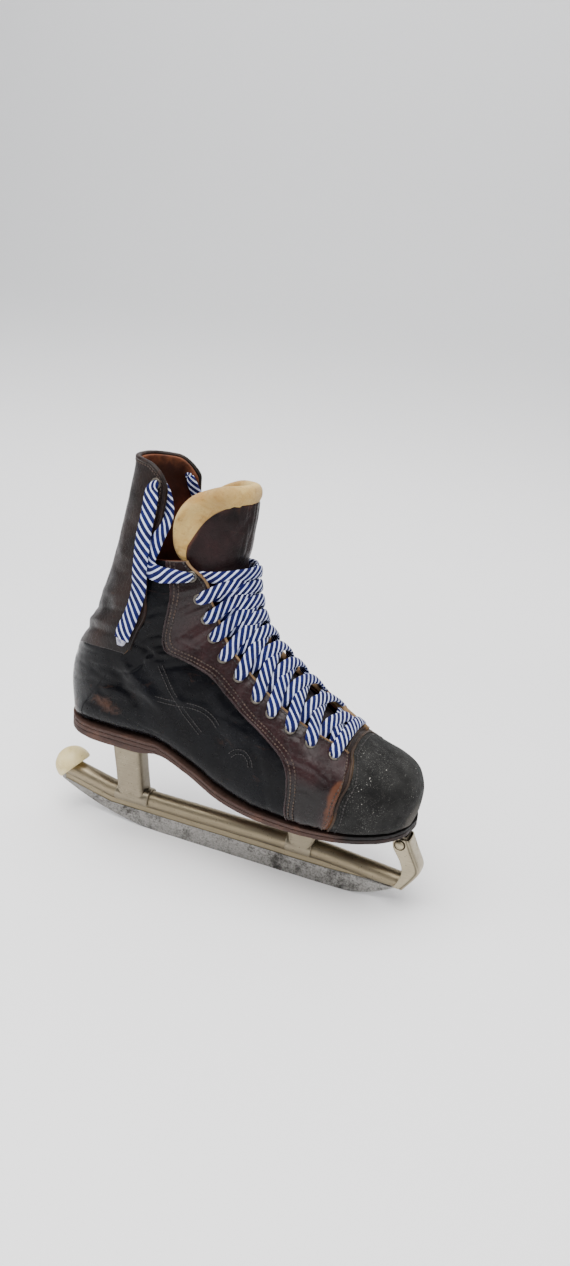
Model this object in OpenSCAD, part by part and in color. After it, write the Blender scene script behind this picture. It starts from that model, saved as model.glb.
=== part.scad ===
// Vintage ice hockey skate for the right foot: leather boot on a steel tube blade.
// Toe along +X, wearer's right (outer) side along -Y, up along +Z.
// The origin lies on the ice under the middle of the runner.

/* [Boot] */
// Length of the upper from the back of the heel to the toe
boot_len = 274.5; // [255:0.5:295]
// Height of the tendon guard's rim above the sole at the ball of the foot
boot_rise = 227; // [205:1:250]
// Width of the upper at the ball of the foot
boot_w = 90; // [82:1:98]
// Height of the upper's lower edge above the ice at the ball of the foot
ball_z = 63; // [60:0.5:70]
// How much higher the heel sits than the ball of the foot
heel_pitch = 27.5; // [24:0.5:32]
// Thickness of the outer leather
leather_t = 1.6; // [1.2:0.1:1.8]
// Thickness of the lining and of the stiffeners behind the leather
lining_t = 1.5; // [1.0:0.1:1.8]
// Clearance between neighbouring layers and panels
layer_gap = 0.3; // [0.2:0.05:0.4]
// Clearance between the leather and the lining behind it
lining_gap = 0.7; // [0.5:0.05:0.8]

/* [Sole] */
// Thickness of the midsole layer
midsole_t = 2.4; // [2:0.1:3]
// Thickness of the outsole layer
outsole_t = 3; // [2.4:0.1:4]
// Thickness of the extra layer under the heel
heel_lift_t = 5; // [4:0.1:6]
// Thickness of the insole board
insole_t = 2; // [1.5:0.1:2.2]
// How far the sole's edge stands out past the upper
sole_lip = 1; // [0.5:0.1:2]

/* [Runner and tube] */
// Length of the runner between its tips
runner_len = 283; // [275:1:290]
// Thickness of the runner
runner_t = 4; // [3:0.1:4.4]
// Height of the runner's upper edge above the ice
runner_h = 19; // [17:0.5:21]
// Radius of the runner's rocker in front of its flat middle
rocker_r = 1500; // [1200:50:3200]
// Outer radius of the tube's round top
tube_r = 6.8; // [6:0.1:7.2]
// Wall of the tube
tube_wall = 1.2; // [0.8:0.1:1.6]
// Height of the tube's axis above the ice
tube_z = 25.5; // [24:0.5:28]
// Height of the tube's lower edge above the ice
skirt_z = 15.5; // [13:0.5:17]
// Radius of the plastic heel tip
tip_r = 14; // [13:0.5:16]

/* [Posts, plates and brace] */
// Place of the heel post along the runner
heel_post_x = -82; // [-88:1:-76]
// Place of the sole post along the runner
sole_post_x = 63; // [58:1:68]
// Wall of the posts and of the brace
post_wall = 1.4; // [1:0.1:2]
// Thickness of the plates under the sole
plate_t = 2; // [1.5:0.1:3]
// Radius of the rivets' shanks
rivet_r = 2; // [1.5:0.1:2.5]
// How deep the rivets reach into the leather
rivet_grip = 2; // [1:0.1:2.2]

/* [Tongue] */
// Thickness of the tongue's leather cover
tongue_cover_t = 1.5; // [1:0.1:2]
// Thickness of the tongue's felt
felt_t = 6; // [4:0.5:8]
// Room for the lace between a facing and the tongue
lace_room = 3.2; // [3:0.1:3.8]

/* [Lacing] */
// Eyelets on each side
eyelet_count = 11; // [9:1:12]
// Distance of the eyelets from the facing's edge
eyelet_inset = 8; // [7:0.5:9]
// Inner radius of an eyelet
eyelet_r = 2.3; // [2.2:0.1:2.6]
// Width of the flat lace
lace_w = 10; // [8:0.5:11]
// Width of the lace where it crosses the tongue, drawn together
lace_cross_w = 7.5; // [6:0.5:8.5]
// Thickness of the flat lace
lace_t = 1.8; // [1.4:0.1:2]

/* [Hidden] */
$fn = 48;
// Small overlap that keeps cuts clean
eps = 0.01;

// Shape cage of the upper, from the toe round the heel to the guard's rim.
// Each row holds the lower or rear point (x, z), the upper or front point (x, z), the half
// width, how square the lower and the upper curve are, where the widest place lies between
// the two points, how much an inner layer draws back from the toe, and the swing to the inside.
// The lower points on the sole hold a share of the heel's pitch in place of z.
len_k = boot_len / 274.5;
rise_k = boot_rise / 227;
half_k = boot_w / 90;
function sole_pt(x, share, up = 0) = [x * len_k, ball_z + share * heel_pitch + up];
function cage_pt(x, h) = [x * len_k, ball_z + h * rise_k];
function cage_row(low, high, half, square_low, square_high, widest, toe, swing) =
    [low[0], low[1], high[0], high[1], half * half_k, square_low, square_high, widest, toe, swing];
cage = [
    cage_row(cage_pt(141.9, 19), cage_pt(142, 20), 0.6, 3, 2.2, 0.45, 1, 4),
    cage_row(sole_pt(139.6, 0, 6.8), cage_pt(141.2, 31), 13, 3.5, 2.3, 0.42, 1, 4),
    cage_row(sole_pt(136.8, 0, 5.5), cage_pt(137.5, 38.5), 21.5, 4, 2.4, 0.40, 0.9, 4),
    cage_row(sole_pt(130, 0, 3.5), cage_pt(131, 44.5), 29, 4.5, 2.5, 0.38, 0.7, 3.5),
    cage_row(sole_pt(118, 0, 2), cage_pt(118, 49.5), 36.5, 5, 2.5, 0.38, 0.3, 2.5),
    cage_row(sole_pt(100, 0, 0.5), cage_pt(100, 54.5), 42, 5, 2.5, 0.38, 0, 1),
    cage_row(sole_pt(80, 0), cage_pt(84, 63), 44.5, 5, 2.3, 0.38, 0, 0),
    cage_row(sole_pt(58, 0), cage_pt(67, 75.5), 45, 5, 2.2, 0.38, 0, -0.5),
    cage_row(sole_pt(32, 0.02), cage_pt(50, 89), 43, 5, 2.1, 0.39, 0, 0),
    cage_row(sole_pt(5, 0.2), cage_pt(34.5, 102), 40.5, 5, 2, 0.40, 0, 0.5),
    cage_row(sole_pt(-20, 0.6), cage_pt(23.5, 112), 38.5, 5, 2, 0.41, 0, 0.5),
    cage_row(sole_pt(-50, 0.99), cage_pt(16.5, 120.5), 37.5, 5, 2, 0.42, 0, 0),
    cage_row(sole_pt(-85, 1), cage_pt(12.5, 128), 37, 5, 2, 0.43, 0, 0),
    cage_row(sole_pt(-115, 1), cage_pt(10, 135), 37, 4.5, 2, 0.44, 0, 0),
    cage_row(sole_pt(-129, 1, 6.5), cage_pt(8.5, 140.5), 37, 2.5, 2, 0.45, 0, 0),
    cage_row(sole_pt(-132.5, 1, 25.5), cage_pt(7, 145.5), 37.5, 2.2, 2, 0.45, 0, 0),
    cage_row(cage_pt(-129.5, 75), cage_pt(6, 150), 38, 2.2, 2, 0.46, 0, 0),
    cage_row(cage_pt(-120, 95), cage_pt(5, 154), 38, 2.2, 2, 0.47, 0, 0),
    cage_row(cage_pt(-111.5, 117), cage_pt(4.5, 158.5), 36.5, 2.2, 2, 0.48, 0, 0),
    cage_row(cage_pt(-106, 135), cage_pt(4, 163.5), 35, 2.2, 2.1, 0.48, 0, 0),
    cage_row(cage_pt(-101.5, 151), cage_pt(3.5, 169), 33, 2.3, 2.1, 0.48, 0, 0),
    cage_row(cage_pt(-97, 171), cage_pt(2.5, 179), 30.5, 2.4, 2.1, 0.47, 0, 0),
    cage_row(cage_pt(-93, 194), cage_pt(1.5, 194), 28, 2.5, 2.1, 0.46, 0, 0),
    cage_row(cage_pt(-90, 213), cage_pt(0.5, 208), 26, 2.5, 2.1, 0.45, 0, 0),
    cage_row(cage_pt(-88.5, 227), cage_pt(0, 220), 25, 2.5, 2.1, 0.45, 0, 0)
];
heel_seat_z = ball_z + heel_pitch;

// Smooth curve through the rows of a list
function knot(list, i) = list[max(0, min(len(list) - 1, i))];
function curve_at(list, u) =
    let (i = max(0, min(floor(u), len(list) - 2)), t = u - i)
    let (a = knot(list, i - 1), b = knot(list, i), c = knot(list, i + 1), d = knot(list, i + 2))
    b + 0.5 * t * ((c - a) + t * ((2 * a - 5 * b + 4 * c - d) + t * (3 * (b - c) + d - a)));

// Point on the upper: u runs from the toe to the rim, f from the sole's or back's middle (0)
// over the right side to the front's middle (1) and on over the left side to 2,
// and depth is how far the point lies under the outer face.
edge_fade = 40;
side_fade = 32;
function signed_pow(v, p) = sign(v) * pow(abs(v), p);
function boot(u, f, depth = 0) =
    let (r = curve_at(cage, u), span = norm([r[2] - r[0], r[3] - r[1]]))
    let (dir = [r[2] - r[0], r[3] - r[1]] / span)
    let (end = depth * min(1, span / edge_fade), half = r[4] - depth * min(1, r[4] / side_fade))
    let (c = cos(180 * f), s = sin(180 * f), square = c >= 0 ? r[5] : r[6])
    let (reach = pow(abs(c), 2 / square))
    let (share = c >= 0 ? r[7] * (1 - reach) : r[7] + (1 - r[7]) * reach)
    let (along = end + share * (span - 2 * end))
    [r[0] + dir[0] * along - r[8] * depth,
     r[9] - half * signed_pow(s, 2 / square),
     r[1] + dir[1] * along];
function unit(v) = v / norm(v);
function along_u(u, f) = unit(boot(u + 0.05, f) - boot(u - 0.05, f));
function along_f(u, f) = unit(boot(u, f + 0.01) - boot(u, f - 0.01));
function outward(u, f) = unit(cross(along_f(u, f), along_u(u, f)));
// Share of f that spans a distance on the upper
function f_span(u, f, distance) = distance * 0.02 / norm(boot(u, f + 0.01) - boot(u, f - 0.01));

// Seam lines of the upper
sole_f = 0.12;
cap_u = 5.1;
throat_u = 5.65;
vamp_seam_u = 6.85;
collar_u = 20.3;
rim_u = 24;
function sole_line(u) = lookup(u, [[1.2, 0.01], [2.2, sole_f], [12.5, sole_f], [13.9, 0.005]]);
function facing_line(u) = lookup(u, [
    [vamp_seam_u, sole_f], [6.95, 0.3], [7.05, 0.47], [7.25, 0.55], [7.6, 0.61], [8.4, 0.63],
    [11.7, 0.64], [14.1, 0.605], [16, 0.61], [18.7, 0.56], [collar_u, 0.53]]);
function throat_line(u) = lookup(u, [
    [throat_u, 0.86], [6.8, 0.81], [7.6, 0.785], [8.4, 0.768], [9.1, 0.763], [11.4, 0.763],
    [12.9, 0.778], [14.8, 0.775], [17.1, 0.74], [19.2, 0.68], [collar_u, 0.615]]);
function quarter_line(u) = lookup(u, [
    [12.5, sole_f], [14.85, 0.48], [15.1, 0.507], [16.6, 0.52], [18.5, 0.475], [collar_u, 0.45]]);
function guard_line(u) = lookup(u, [
    [14.9, 0.475], [15.1, 0.5], [16.6, 0.513], [18.5, 0.468], [collar_u, 0.443], [21.3, 0.457],
    [22.4, 0.47], [rim_u, 0.463]]);
function guard_foot(share) = lookup(abs(share), [[0, 16.5], [0.44, 16.28], [0.79, 15.68], [1, 14.95]]);
function guard_rim(share) = lookup(abs(share), [[0.7, rim_u], [0.9, 23.6], [1, 23.1]]);
counter_f = 0.475;
function counter_foot(f) = lookup(abs(f), [[0, 13.95], [sole_f, 12.56], [0.48, 14.9]]);
function counter_top(f) = guard_foot(abs(f) / 0.48);
// Gap of a seam as a share of u and of f
seam_u = layer_gap / 10;
seam_f = layer_gap / 80;

// Closed shell over a grid of (u, f) places between two depths
function steps(a, b, n) = [for (i = [0:n]) a + (b - a) * i / n];
function grid_ring(n, m) = concat(
    [for (j = [0:m - 1]) j],
    [for (i = [1:n - 1]) i * m + m - 1],
    [for (j = [m - 2:-1:0]) (n - 1) * m + j],
    [for (i = [n - 2:-1:1]) i * m]);
module shell_of(outer, inner, n, m) {
    k = n * m;
    ring = grid_ring(n, m);
    faces = concat(
        [for (i = [0:n - 2], j = [0:m - 2], h = [0, 1]) let (a = i * m + j)
            h == 0 ? [a, a + m, a + m + 1] : [a, a + m + 1, a + 1]],
        [for (i = [0:n - 2], j = [0:m - 2], h = [0, 1]) let (a = k + i * m + j)
            h == 0 ? [a, a + m + 1, a + m] : [a, a + 1, a + m + 1]],
        [for (q = [0:len(ring) - 1], h = [0, 1])
            let (a = ring[q], b = ring[(q + 1) % len(ring)])
            h == 0 ? [a, b, k + b] : [a, k + b, k + a]]);
    polyhedron(points = concat(outer, inner), faces = faces);
}
module panel(grid, depth, thick) {
    outer = [for (row = grid, g = row) boot(g[0], g[1], depth)];
    inner = [for (row = grid, g = row) boot(g[0], g[1], depth + thick)];
    shell_of(outer, inner, len(grid), len(grid[0]));
}
// The same grid on the other side of the boot
function other_side(grid) = [for (row = grid)
    [for (j = [len(row) - 1:-1:0]) [row[j][0], 2 - row[j][1]]]];

inner_depth = leather_t + lining_gap;
tongue_depth = inner_depth + lining_t + lace_room;

// Grids of the panels
side_cells = 9;
cap_us = [0, 0.35, 0.8, 1.4, 2.1, 3, 3.8, 4.5, cap_u];
function cap_grid(more) = [for (u = concat(cap_us, more))
    [for (f = steps(sole_line(u), 2 - sole_line(u), 24)) [u, f]]];
vamp_grid = [for (u = [cap_u + seam_u, 5.4, throat_u - seam_u])
    [for (f = steps(sole_f, 2 - sole_f, 24)) [u, f]]];
facing_us = [throat_u, 6.1, 6.5, vamp_seam_u, 6.9, 6.95, 7.05, 7.15, 7.25, 7.6, 8, 8.4, 9, 9.7,
    10.4, 11.1, 11.7, 12.5, 13.3, 14.1, 15, 16, 17, 17.9, 18.7, 19.3, 19.9, collar_u];
facing_grid = [for (u = facing_us) [for (f = steps(facing_line(u), throat_line(u), 10)) [u, f]]];
quarter_us = [6.93, 7.05, 7.25, 7.6, 8.4, 9.2, 10, 10.8, 11.7, 12.5, 13.1, 13.8, 14.4, 14.85, 15.1,
    15.8, 16.6, 17.4, 18.5, 19.4, collar_u];
quarter_grid = [for (u = quarter_us)
    [for (f = steps(quarter_line(u), facing_line(u) - seam_f, side_cells)) [u, f]]];
lining_us = [throat_u, 6.1, 6.5, vamp_seam_u, 7.25, 7.6, 8.4, 9.2, 10, 10.8, 11.7, 12.5, 13.1, 13.8, 14.4,
    14.85, 15.1, 15.8, 16.6, 17.4, 18.5, 19.4, collar_u];
lining_grid = [for (u = lining_us) [for (f = steps(quarter_line(u), throat_line(u), 14)) [u, f]]];
counter_grid = [for (t = steps(0, 1, 6)) [for (f = steps(-counter_f, counter_f, 18))
    [counter_foot(f) + seam_u + t * (counter_top(f) - counter_foot(f) - 3 * seam_u), f]]];
foot_grid = [for (t = steps(0, 1, 7)) [for (a = steps(-1, 1, 16))
    let (u = guard_foot(a) + t * (collar_u - guard_foot(a))) [u, a * (guard_line(u) - seam_f)]]];
guard_gap_u = 0.08;
guard_grid = [for (t = steps(0, 1, 7)) [for (a = steps(-1, 1, 16))
    let (base = collar_u + guard_gap_u, u = base + t * (guard_rim(a) - base))
    [u, a * guard_line(u)]]];

module toe_cap() {
    color("#232326") panel(cap_grid([]), 0, leather_t);
}
module toe_box() {
    color("#6b5444") panel(cap_grid([5.4, throat_u - seam_u]), inner_depth, lining_t);
}
module vamp() {
    color("#4a342c") panel(vamp_grid, 0, leather_t);
}

// Eyelet places along a facing
eyelet_path = [5.9, 6.8, 7.6, 8.4, 9.1, 10.2, 11.4, 12.9, 14.8, 17.1, 19.2];
function eyelet_u(k) = curve_at(eyelet_path, k * (len(eyelet_path) - 1) / (eyelet_count - 1));
function eyelet_f(u) = throat_line(u) - f_span(u, throat_line(u) - 0.05, eyelet_inset);
guard_hole = [23.1, 0.415];
eyelet_wall = 0.4;
eyelet_flange = 4.4;
flange_t = 0.6;
hole_room = 0.15;
hole_r = eyelet_r + eyelet_wall + hole_room;
hole_reach = 8;
// Puts its children on the upper, with +Z pointing out of it
module on_boot(u, f, depth = 0) {
    n = outward(u, f);
    translate(boot(u, f, depth)) rotate([0, acos(n[2]), atan2(n[1], n[0])]) children();
}
module eyelet_holes(left) {
    for (k = [0:eyelet_count - 1]) {
        u = eyelet_u(k);
        f = eyelet_f(u);
        on_boot(u, left ? 2 - f : f) translate([0, 0, -hole_reach]) cylinder(r = hole_r, h = 2 * hole_reach);
    }
}
module eyelet(depth) {
    rotate_extrude() polygon([
        [eyelet_r, -depth], [eyelet_r + eyelet_wall, -depth], [eyelet_r + eyelet_wall, layer_gap],
        [eyelet_flange, layer_gap], [eyelet_flange - 0.5, layer_gap + flange_t],
        [eyelet_r, layer_gap + flange_t]]);
}
module eyelet_row(left) {
    for (k = [0:eyelet_count - 1]) {
        u = eyelet_u(k);
        f = eyelet_f(u);
        on_boot(u, left ? 2 - f : f) eyelet(inner_depth + lining_t);
    }
}
module facing_right() {
    color("#4a342c") difference() {
        panel(facing_grid, 0, leather_t);
        eyelet_holes(false);
    }
}
module facing_left() {
    color("#4a342c") difference() {
        panel(other_side(facing_grid), 0, leather_t);
        eyelet_holes(true);
    }
}
module quarter_right() {
    color("#1d1e22") panel(quarter_grid, 0, leather_t);
}
module quarter_left() {
    color("#1d1e22") panel(other_side(quarter_grid), 0, leather_t);
}
module lining_right() {
    color("#7a4a36") difference() {
        panel(lining_grid, inner_depth, lining_t);
        eyelet_holes(false);
    }
}
module lining_left() {
    color("#7a4a36") difference() {
        panel(other_side(lining_grid), inner_depth, lining_t);
        eyelet_holes(true);
    }
}
module heel_counter() {
    color("#1d1e22") panel(counter_grid, 0, leather_t);
}
module counter_stiffener() {
    color("#6b5444") panel(counter_grid, inner_depth, lining_t);
}
module lower_guard() {
    color("#3a2c29") panel(foot_grid, 0, leather_t);
}
module lower_guard_pad() {
    color("#7a4a36") panel(foot_grid, inner_depth, lining_t);
}
module guard_holes() {
    for (f = [guard_hole[1], -guard_hole[1]])
        on_boot(guard_hole[0], f) translate([0, 0, -hole_reach]) cylinder(r = hole_r, h = 2 * hole_reach);
}
module tendon_guard() {
    color("#3a2c29") difference() {
        panel(guard_grid, 0, leather_t);
        guard_holes();
    }
}
module guard_lining() {
    color("#7a3a26") difference() {
        panel(guard_grid, inner_depth, lining_t);
        guard_holes();
    }
}
module eyelets_right() {
    color("#8f8d88") eyelet_row(false);
}
module eyelets_left() {
    color("#8f8d88") eyelet_row(true);
}
module guard_eyelets() {
    color("#8f8d88") for (f = [guard_hole[1], -guard_hole[1]])
        on_boot(guard_hole[0], f) eyelet(inner_depth + lining_t);
}

// Tongue: it lies under the facings and stands free above the collar
fold_u = 20.7;
fold_gap_u = 0.03;
tongue_toe_u = 5.9;
function tongue_edge(u) = lookup(u, [[tongue_toe_u, 0.78], [8, 0.71], [12, 0.68], [16, 0.66],
    [18.5, 0.62], [fold_u, 0.57], [22, 0.55]]);
function tongue_rim(f) = lookup(abs(f - 1), [[0, 24], [0.25, 23.6], [0.4, 23.1], [0.47, 22.3]]);
function flare(u) = lookup(u, [[19.4, tongue_depth], [22, 1], [24, -2]]);
tongue_us = [tongue_toe_u, 6.8, 7.8, 8.8, 9.8, 11, 12.4, 14, 16, 18, 19.4, fold_u - fold_gap_u];
function tongue_row(u, margin) = [for (t = steps(-1, 1, 12))
    [u, 1 + t * (1 - tongue_edge(u) - margin)]];
function tongue_low(margin) = [for (u = tongue_us) tongue_row(u, margin)];
function tongue_high(margin, drop) = [for (t = steps(0, 1, 7)) [for (a = steps(-1, 1, 16))
    let (span = 1 - tongue_edge(22) - margin, top = tongue_rim(1 + a * span) - drop)
    let (u = fold_u + t * (top - fold_u)) [u, 1 + a * (1 - tongue_edge(u) - margin)]]];
module tongue_layer(grid, depth, thick) {
    outer = [for (row = grid, g = row) boot(g[0], g[1], flare(g[0]) + depth)];
    inner = [for (row = grid, g = row) boot(g[0], g[1], flare(g[0]) + depth + thick)];
    shell_of(outer, inner, len(grid), len(grid[0]));
}
cover_margin = 0.07;
cover_drop = 0.75;
felt_depth = tongue_cover_t + layer_gap;
module tongue_cover() {
    color("#33221f") tongue_layer(tongue_low(0.01), 0, tongue_cover_t);
}
module tongue_felt() {
    color("#d8ccb4") tongue_layer(tongue_low(0.01), felt_depth, felt_t);
}
module tongue_top_cover() {
    color("#33221f") tongue_layer(tongue_high(cover_margin, cover_drop), 0, tongue_cover_t);
}
module tongue_top_felt() {
    color("#d8ccb4") tongue_layer(tongue_high(0, 0), felt_depth, felt_t);
}

// Sole layers: a stack of plates that follow the upper's lower edge
sole_us = [0.3, 0.6, 1, 1.5, 2.1, 2.8, 3.5, 4.2, 5, 6, 7, 8, 8.5, 9, 9.5, 10, 10.5, 11, 11.4, 11.8,
    12.2, 12.6, 13, 13.3, 13.55, 13.75, 13.9];
lift_us = [for (u = sole_us) if (u >= 11) u];
function edge_f(u) = lookup(u, [[12, 0.26], [13, 0.22], [13.5, 0.15], [13.9, 0.05]]);
toe_spring_u = 2.2;
heel_flat_u = 10.99;
toe_spring = 0.8;
function sole_x(u) = boot(u, edge_f(u), -sole_lip)[0];
function sole_z(u) = u < toe_spring_u
    ? curve_at(cage, toe_spring_u)[1] + (toe_spring_u - u) * toe_spring
    : u > heel_flat_u ? heel_seat_z : min(heel_seat_z, curve_at(cage, u)[1]);
// Plate between two heights over the sole line, with its edges at the side share f of each row
module sole_layer(us, low, high, edge, depth) {
    rows = len(us);
    pts = [for (u = us, z = [high, low], left = [false, true])
        let (f = edge < 0 ? edge_f(u) : edge, p = boot(u, left ? 2 - f : f, depth))
        [sole_x(u), p[1], sole_z(u) + z]];
    faces = concat(
        [[0, 1, 2], [1, 3, 2]],
        [for (i = [0:rows - 2], h = [0, 1]) let (a = i * 4) h == 0 ? [a, a + 4, a + 5] : [a, a + 5, a + 1]],
        [for (i = [0:rows - 2], h = [0, 1]) let (a = i * 4)
            h == 0 ? [a + 2, a + 7, a + 6] : [a + 2, a + 3, a + 7]],
        [for (i = [0:rows - 2], h = [0, 1]) let (a = i * 4)
            h == 0 ? [a, a + 2, a + 6] : [a, a + 6, a + 4]],
        [for (i = [0:rows - 2], h = [0, 1]) let (a = i * 4)
            h == 0 ? [a + 1, a + 7, a + 3] : [a + 1, a + 5, a + 7]],
        [let (a = (rows - 1) * 4) [a, a + 2, a + 1], let (a = (rows - 1) * 4) [a + 1, a + 2, a + 3]]);
    polyhedron(points = pts, faces = faces);
}
seat_gap = 0.2;
insole_f = 0.09;
mid_top = 0;
mid_low = mid_top - midsole_t;
out_top = mid_low - seat_gap;
out_low = out_top - outsole_t;
lift_top = out_low - seat_gap;
lift_low = lift_top - heel_lift_t;
heel_base_z = heel_seat_z + lift_low;
ball_base_z = ball_z + out_low;
module insole() {
    color("#8a6a4c") sole_layer([for (u = sole_us) if (u > 2.2 && u < 13.3) u],
        mid_top + seat_gap, mid_top + seat_gap + insole_t, insole_f, leather_t);
}
module midsole() {
    color("#5c3f33") sole_layer(sole_us, mid_low, mid_top, -1, -sole_lip);
}
module outsole() {
    color("#6a4636") difference() {
        sole_layer(sole_us, out_low, out_top, -1, -sole_lip);
        rivet_set(sole_rivets_at, ball_base_z, rivet_room);
        rivet_set(toe_rivets_at, toe_rivet_z, rivet_room);
    }
}
module heel_lift() {
    color("#5a3a2e") difference() {
        sole_layer(lift_us, lift_low, lift_top, -1, -sole_lip);
        rivet_set(heel_rivets_at, heel_base_z, rivet_room);
    }
}

// Plates with round corners under the sole, drilled for their rivets
module round_plate(x0, x1, half, r, t) {
    translate([x0 + r, -half, 0]) cube([x1 - x0 - 2 * r, 2 * half, t]);
    translate([x0, -half + r, 0]) cube([x1 - x0, 2 * half - 2 * r, t]);
    for (x = [x0 + r, x1 - r], y = [-half + r, half - r]) translate([x, y, 0]) cylinder(r = r, h = t);
}
plate_corner = 8;
heel_plate_x = [heel_post_x - 26, heel_post_x + 24];
heel_plate_half = 19;
sole_plate_x = [sole_post_x - 24, sole_post_x + 28];
sole_plate_half = 24;
rivet_edge = 7;
head_r = 3.6;
head_t = 1.4;
function corners(x, half) = [for (a = [x[0] + rivet_edge, x[1] - rivet_edge],
    b = [-half + rivet_edge, half - rivet_edge]) [a, b]];
heel_rivets_at = corners(heel_plate_x, heel_plate_half);
sole_rivets_at = corners(sole_plate_x, sole_plate_half);
plate_gap = 0.1;
rivet_room = 0.1;
// Rivets whose shanks pass the plate into the leather above z, with room around them
module rivet_set(at, z, room) {
    for (p = at) translate([p[0], p[1], z - plate_t - plate_gap - eps])
        cylinder(r = rivet_r + room, h = plate_t + plate_gap + rivet_grip + room + eps);
}
module rivets(at, z) {
    color("#8f8a80") for (p = at) translate([p[0], p[1], z - plate_t - plate_gap]) {
        translate([0, 0, -head_t - plate_gap]) cylinder(r1 = head_r * 0.7, r2 = head_r, h = head_t);
        translate([0, 0, -plate_gap - eps]) cylinder(r = rivet_r, h = plate_t + 2 * plate_gap + rivet_grip);
    }
}
module heel_plate() {
    color("#a8a297") difference() {
        translate([0, 0, heel_base_z - plate_gap - plate_t])
            round_plate(heel_plate_x[0], heel_plate_x[1], heel_plate_half, plate_corner, plate_t);
        rivet_set(heel_rivets_at, heel_base_z, rivet_room);
    }
}
module sole_plate() {
    color("#a8a297") difference() {
        translate([0, 0, ball_base_z - plate_gap - plate_t])
            round_plate(sole_plate_x[0], sole_plate_x[1], sole_plate_half, plate_corner, plate_t);
        rivet_set(sole_rivets_at, ball_base_z, rivet_room);
    }
}
module heel_rivets() {
    rivets(heel_rivets_at, heel_base_z);
}
module sole_rivets() {
    rivets(sole_rivets_at, ball_base_z);
}

// Runner: plate with a flat middle, a steeper rise at the heel and a round nose
toe_setback = 7;
brace_x = cage[0][2] - toe_setback;
runner_front = brace_x + 5.5;
runner_rear = runner_front - runner_len;
flat_rear = 50;
flat_front = 60;
heel_rise_r = 192;
nose_rise_from = 45;
nose_rise_r = 61;
function runner_low(x) =
    let (over = max(0, x - flat_front), rear = max(0, -x - flat_rear))
    let (nose = max(0, x - runner_front + nose_rise_from))
    over * over / (2 * rocker_r) + rear * rear / (2 * heel_rise_r) + nose * nose / (2 * nose_rise_r);
tube_bend_rear = -96;
tube_bend_front = 82;
rear_rise = 12;
front_drop = 5;
// How much the tube's lower edge rises towards the nose
nose_skirt = 3;
// Height of the tube's axis above its straight stretch
function tube_up(x) = x < tube_bend_rear ? (tube_bend_rear - x) * tan(rear_rise)
    : x > tube_bend_front ? (tube_bend_front - x) * tan(front_drop) : 0;
runner_xs = concat(steps(runner_rear, -flat_rear, 6), [flat_front],
    steps(runner_front - nose_rise_from, runner_front, 9));
module runner() {
    outline = concat(
        [for (x = runner_xs) [x, runner_low(x)]],
        [for (x = [runner_front, tube_bend_front, tube_bend_rear, runner_rear])
            [x, max(runner_h + tube_up(x), runner_low(x) + 2)]]);
    color("#8c8c8a") translate([0, runner_t / 2, 0]) rotate([90, 0, 0])
        linear_extrude(runner_t) polygon(outline);
}

// Tube in three straight stretches: dropping to the nose, level, rising to the heel
runner_gap = 0.15;
tube_rear_x = runner_rear + 4.5;
tube_front_x = runner_front + 0.5;
skirt_wall = 2.4;
tube_half = runner_t / 2 + skirt_wall;
tube_cells = 20;
function skirt_low(x) = skirt_z + (x > tube_bend_front
    ? nose_skirt * (x - tube_bend_front) / (tube_front_x - tube_bend_front) : tube_up(x));
// Outline of the tube at x, from the lower edge on the right over the top to the left
function tube_ring(x, r, half) =
    let (open = 180 - asin(half / r), z = tube_z + tube_up(x))
    concat([[x, -half, skirt_low(x)]],
        [for (a = steps(-open, open, tube_cells)) [x, r * sin(a), z + r * cos(a)]],
        [[x, half, skirt_low(x)]]);
tube_xs = [tube_front_x, tube_bend_front, tube_bend_rear, tube_rear_x];
module runner_tube() {
    outer = [for (x = tube_xs) each tube_ring(x, tube_r, tube_half)];
    inner = [for (x = tube_xs) each tube_ring(x, tube_r - tube_wall, runner_t / 2 + runner_gap)];
    color("#b3aa98") shell_of(outer, inner, len(tube_xs), tube_cells + 3);
}
// Plastic cap pushed over the rear end of the tube
tip_x = tube_rear_x + 4;
tip_up = 2.5;
tip_cut = 2;
tip_gap = 0.2;
// The socket's slanted end lies clear of the tube's upright one
socket_x = tube_rear_x - tip_gap - (tube_r + tip_gap) * sin(rear_rise);
module heel_tip() {
    color("#d9cfae") difference() {
        translate([tip_x, 0, tube_z + tube_up(tip_x) + tip_up]) difference() {
            sphere(r = tip_r);
            rotate([0, 45, 0]) translate([tip_cut, -tip_r - 1, -tip_r - 1])
                cube([2 * tip_r, 2 * tip_r + 2, 2 * tip_r + 2]);
        }
        translate([socket_x, 0, tube_z + tube_up(socket_x)])
            rotate([0, rear_rise + 90, 0]) cylinder(r = tube_r + tip_gap, h = 4 * tip_r);
        translate([tube_rear_x - tip_gap, -tube_half - tip_gap, 0])
            cube([4 * tip_r, 2 * (tube_half + tip_gap), tube_z + tube_up(tube_rear_x)]);
        translate([runner_rear - tip_gap, -runner_t / 2 - tip_gap, 0])
            cube([4 * tip_r, runner_t + 2 * tip_gap, runner_h + tube_up(runner_rear) + tip_gap]);
    }
}

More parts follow.
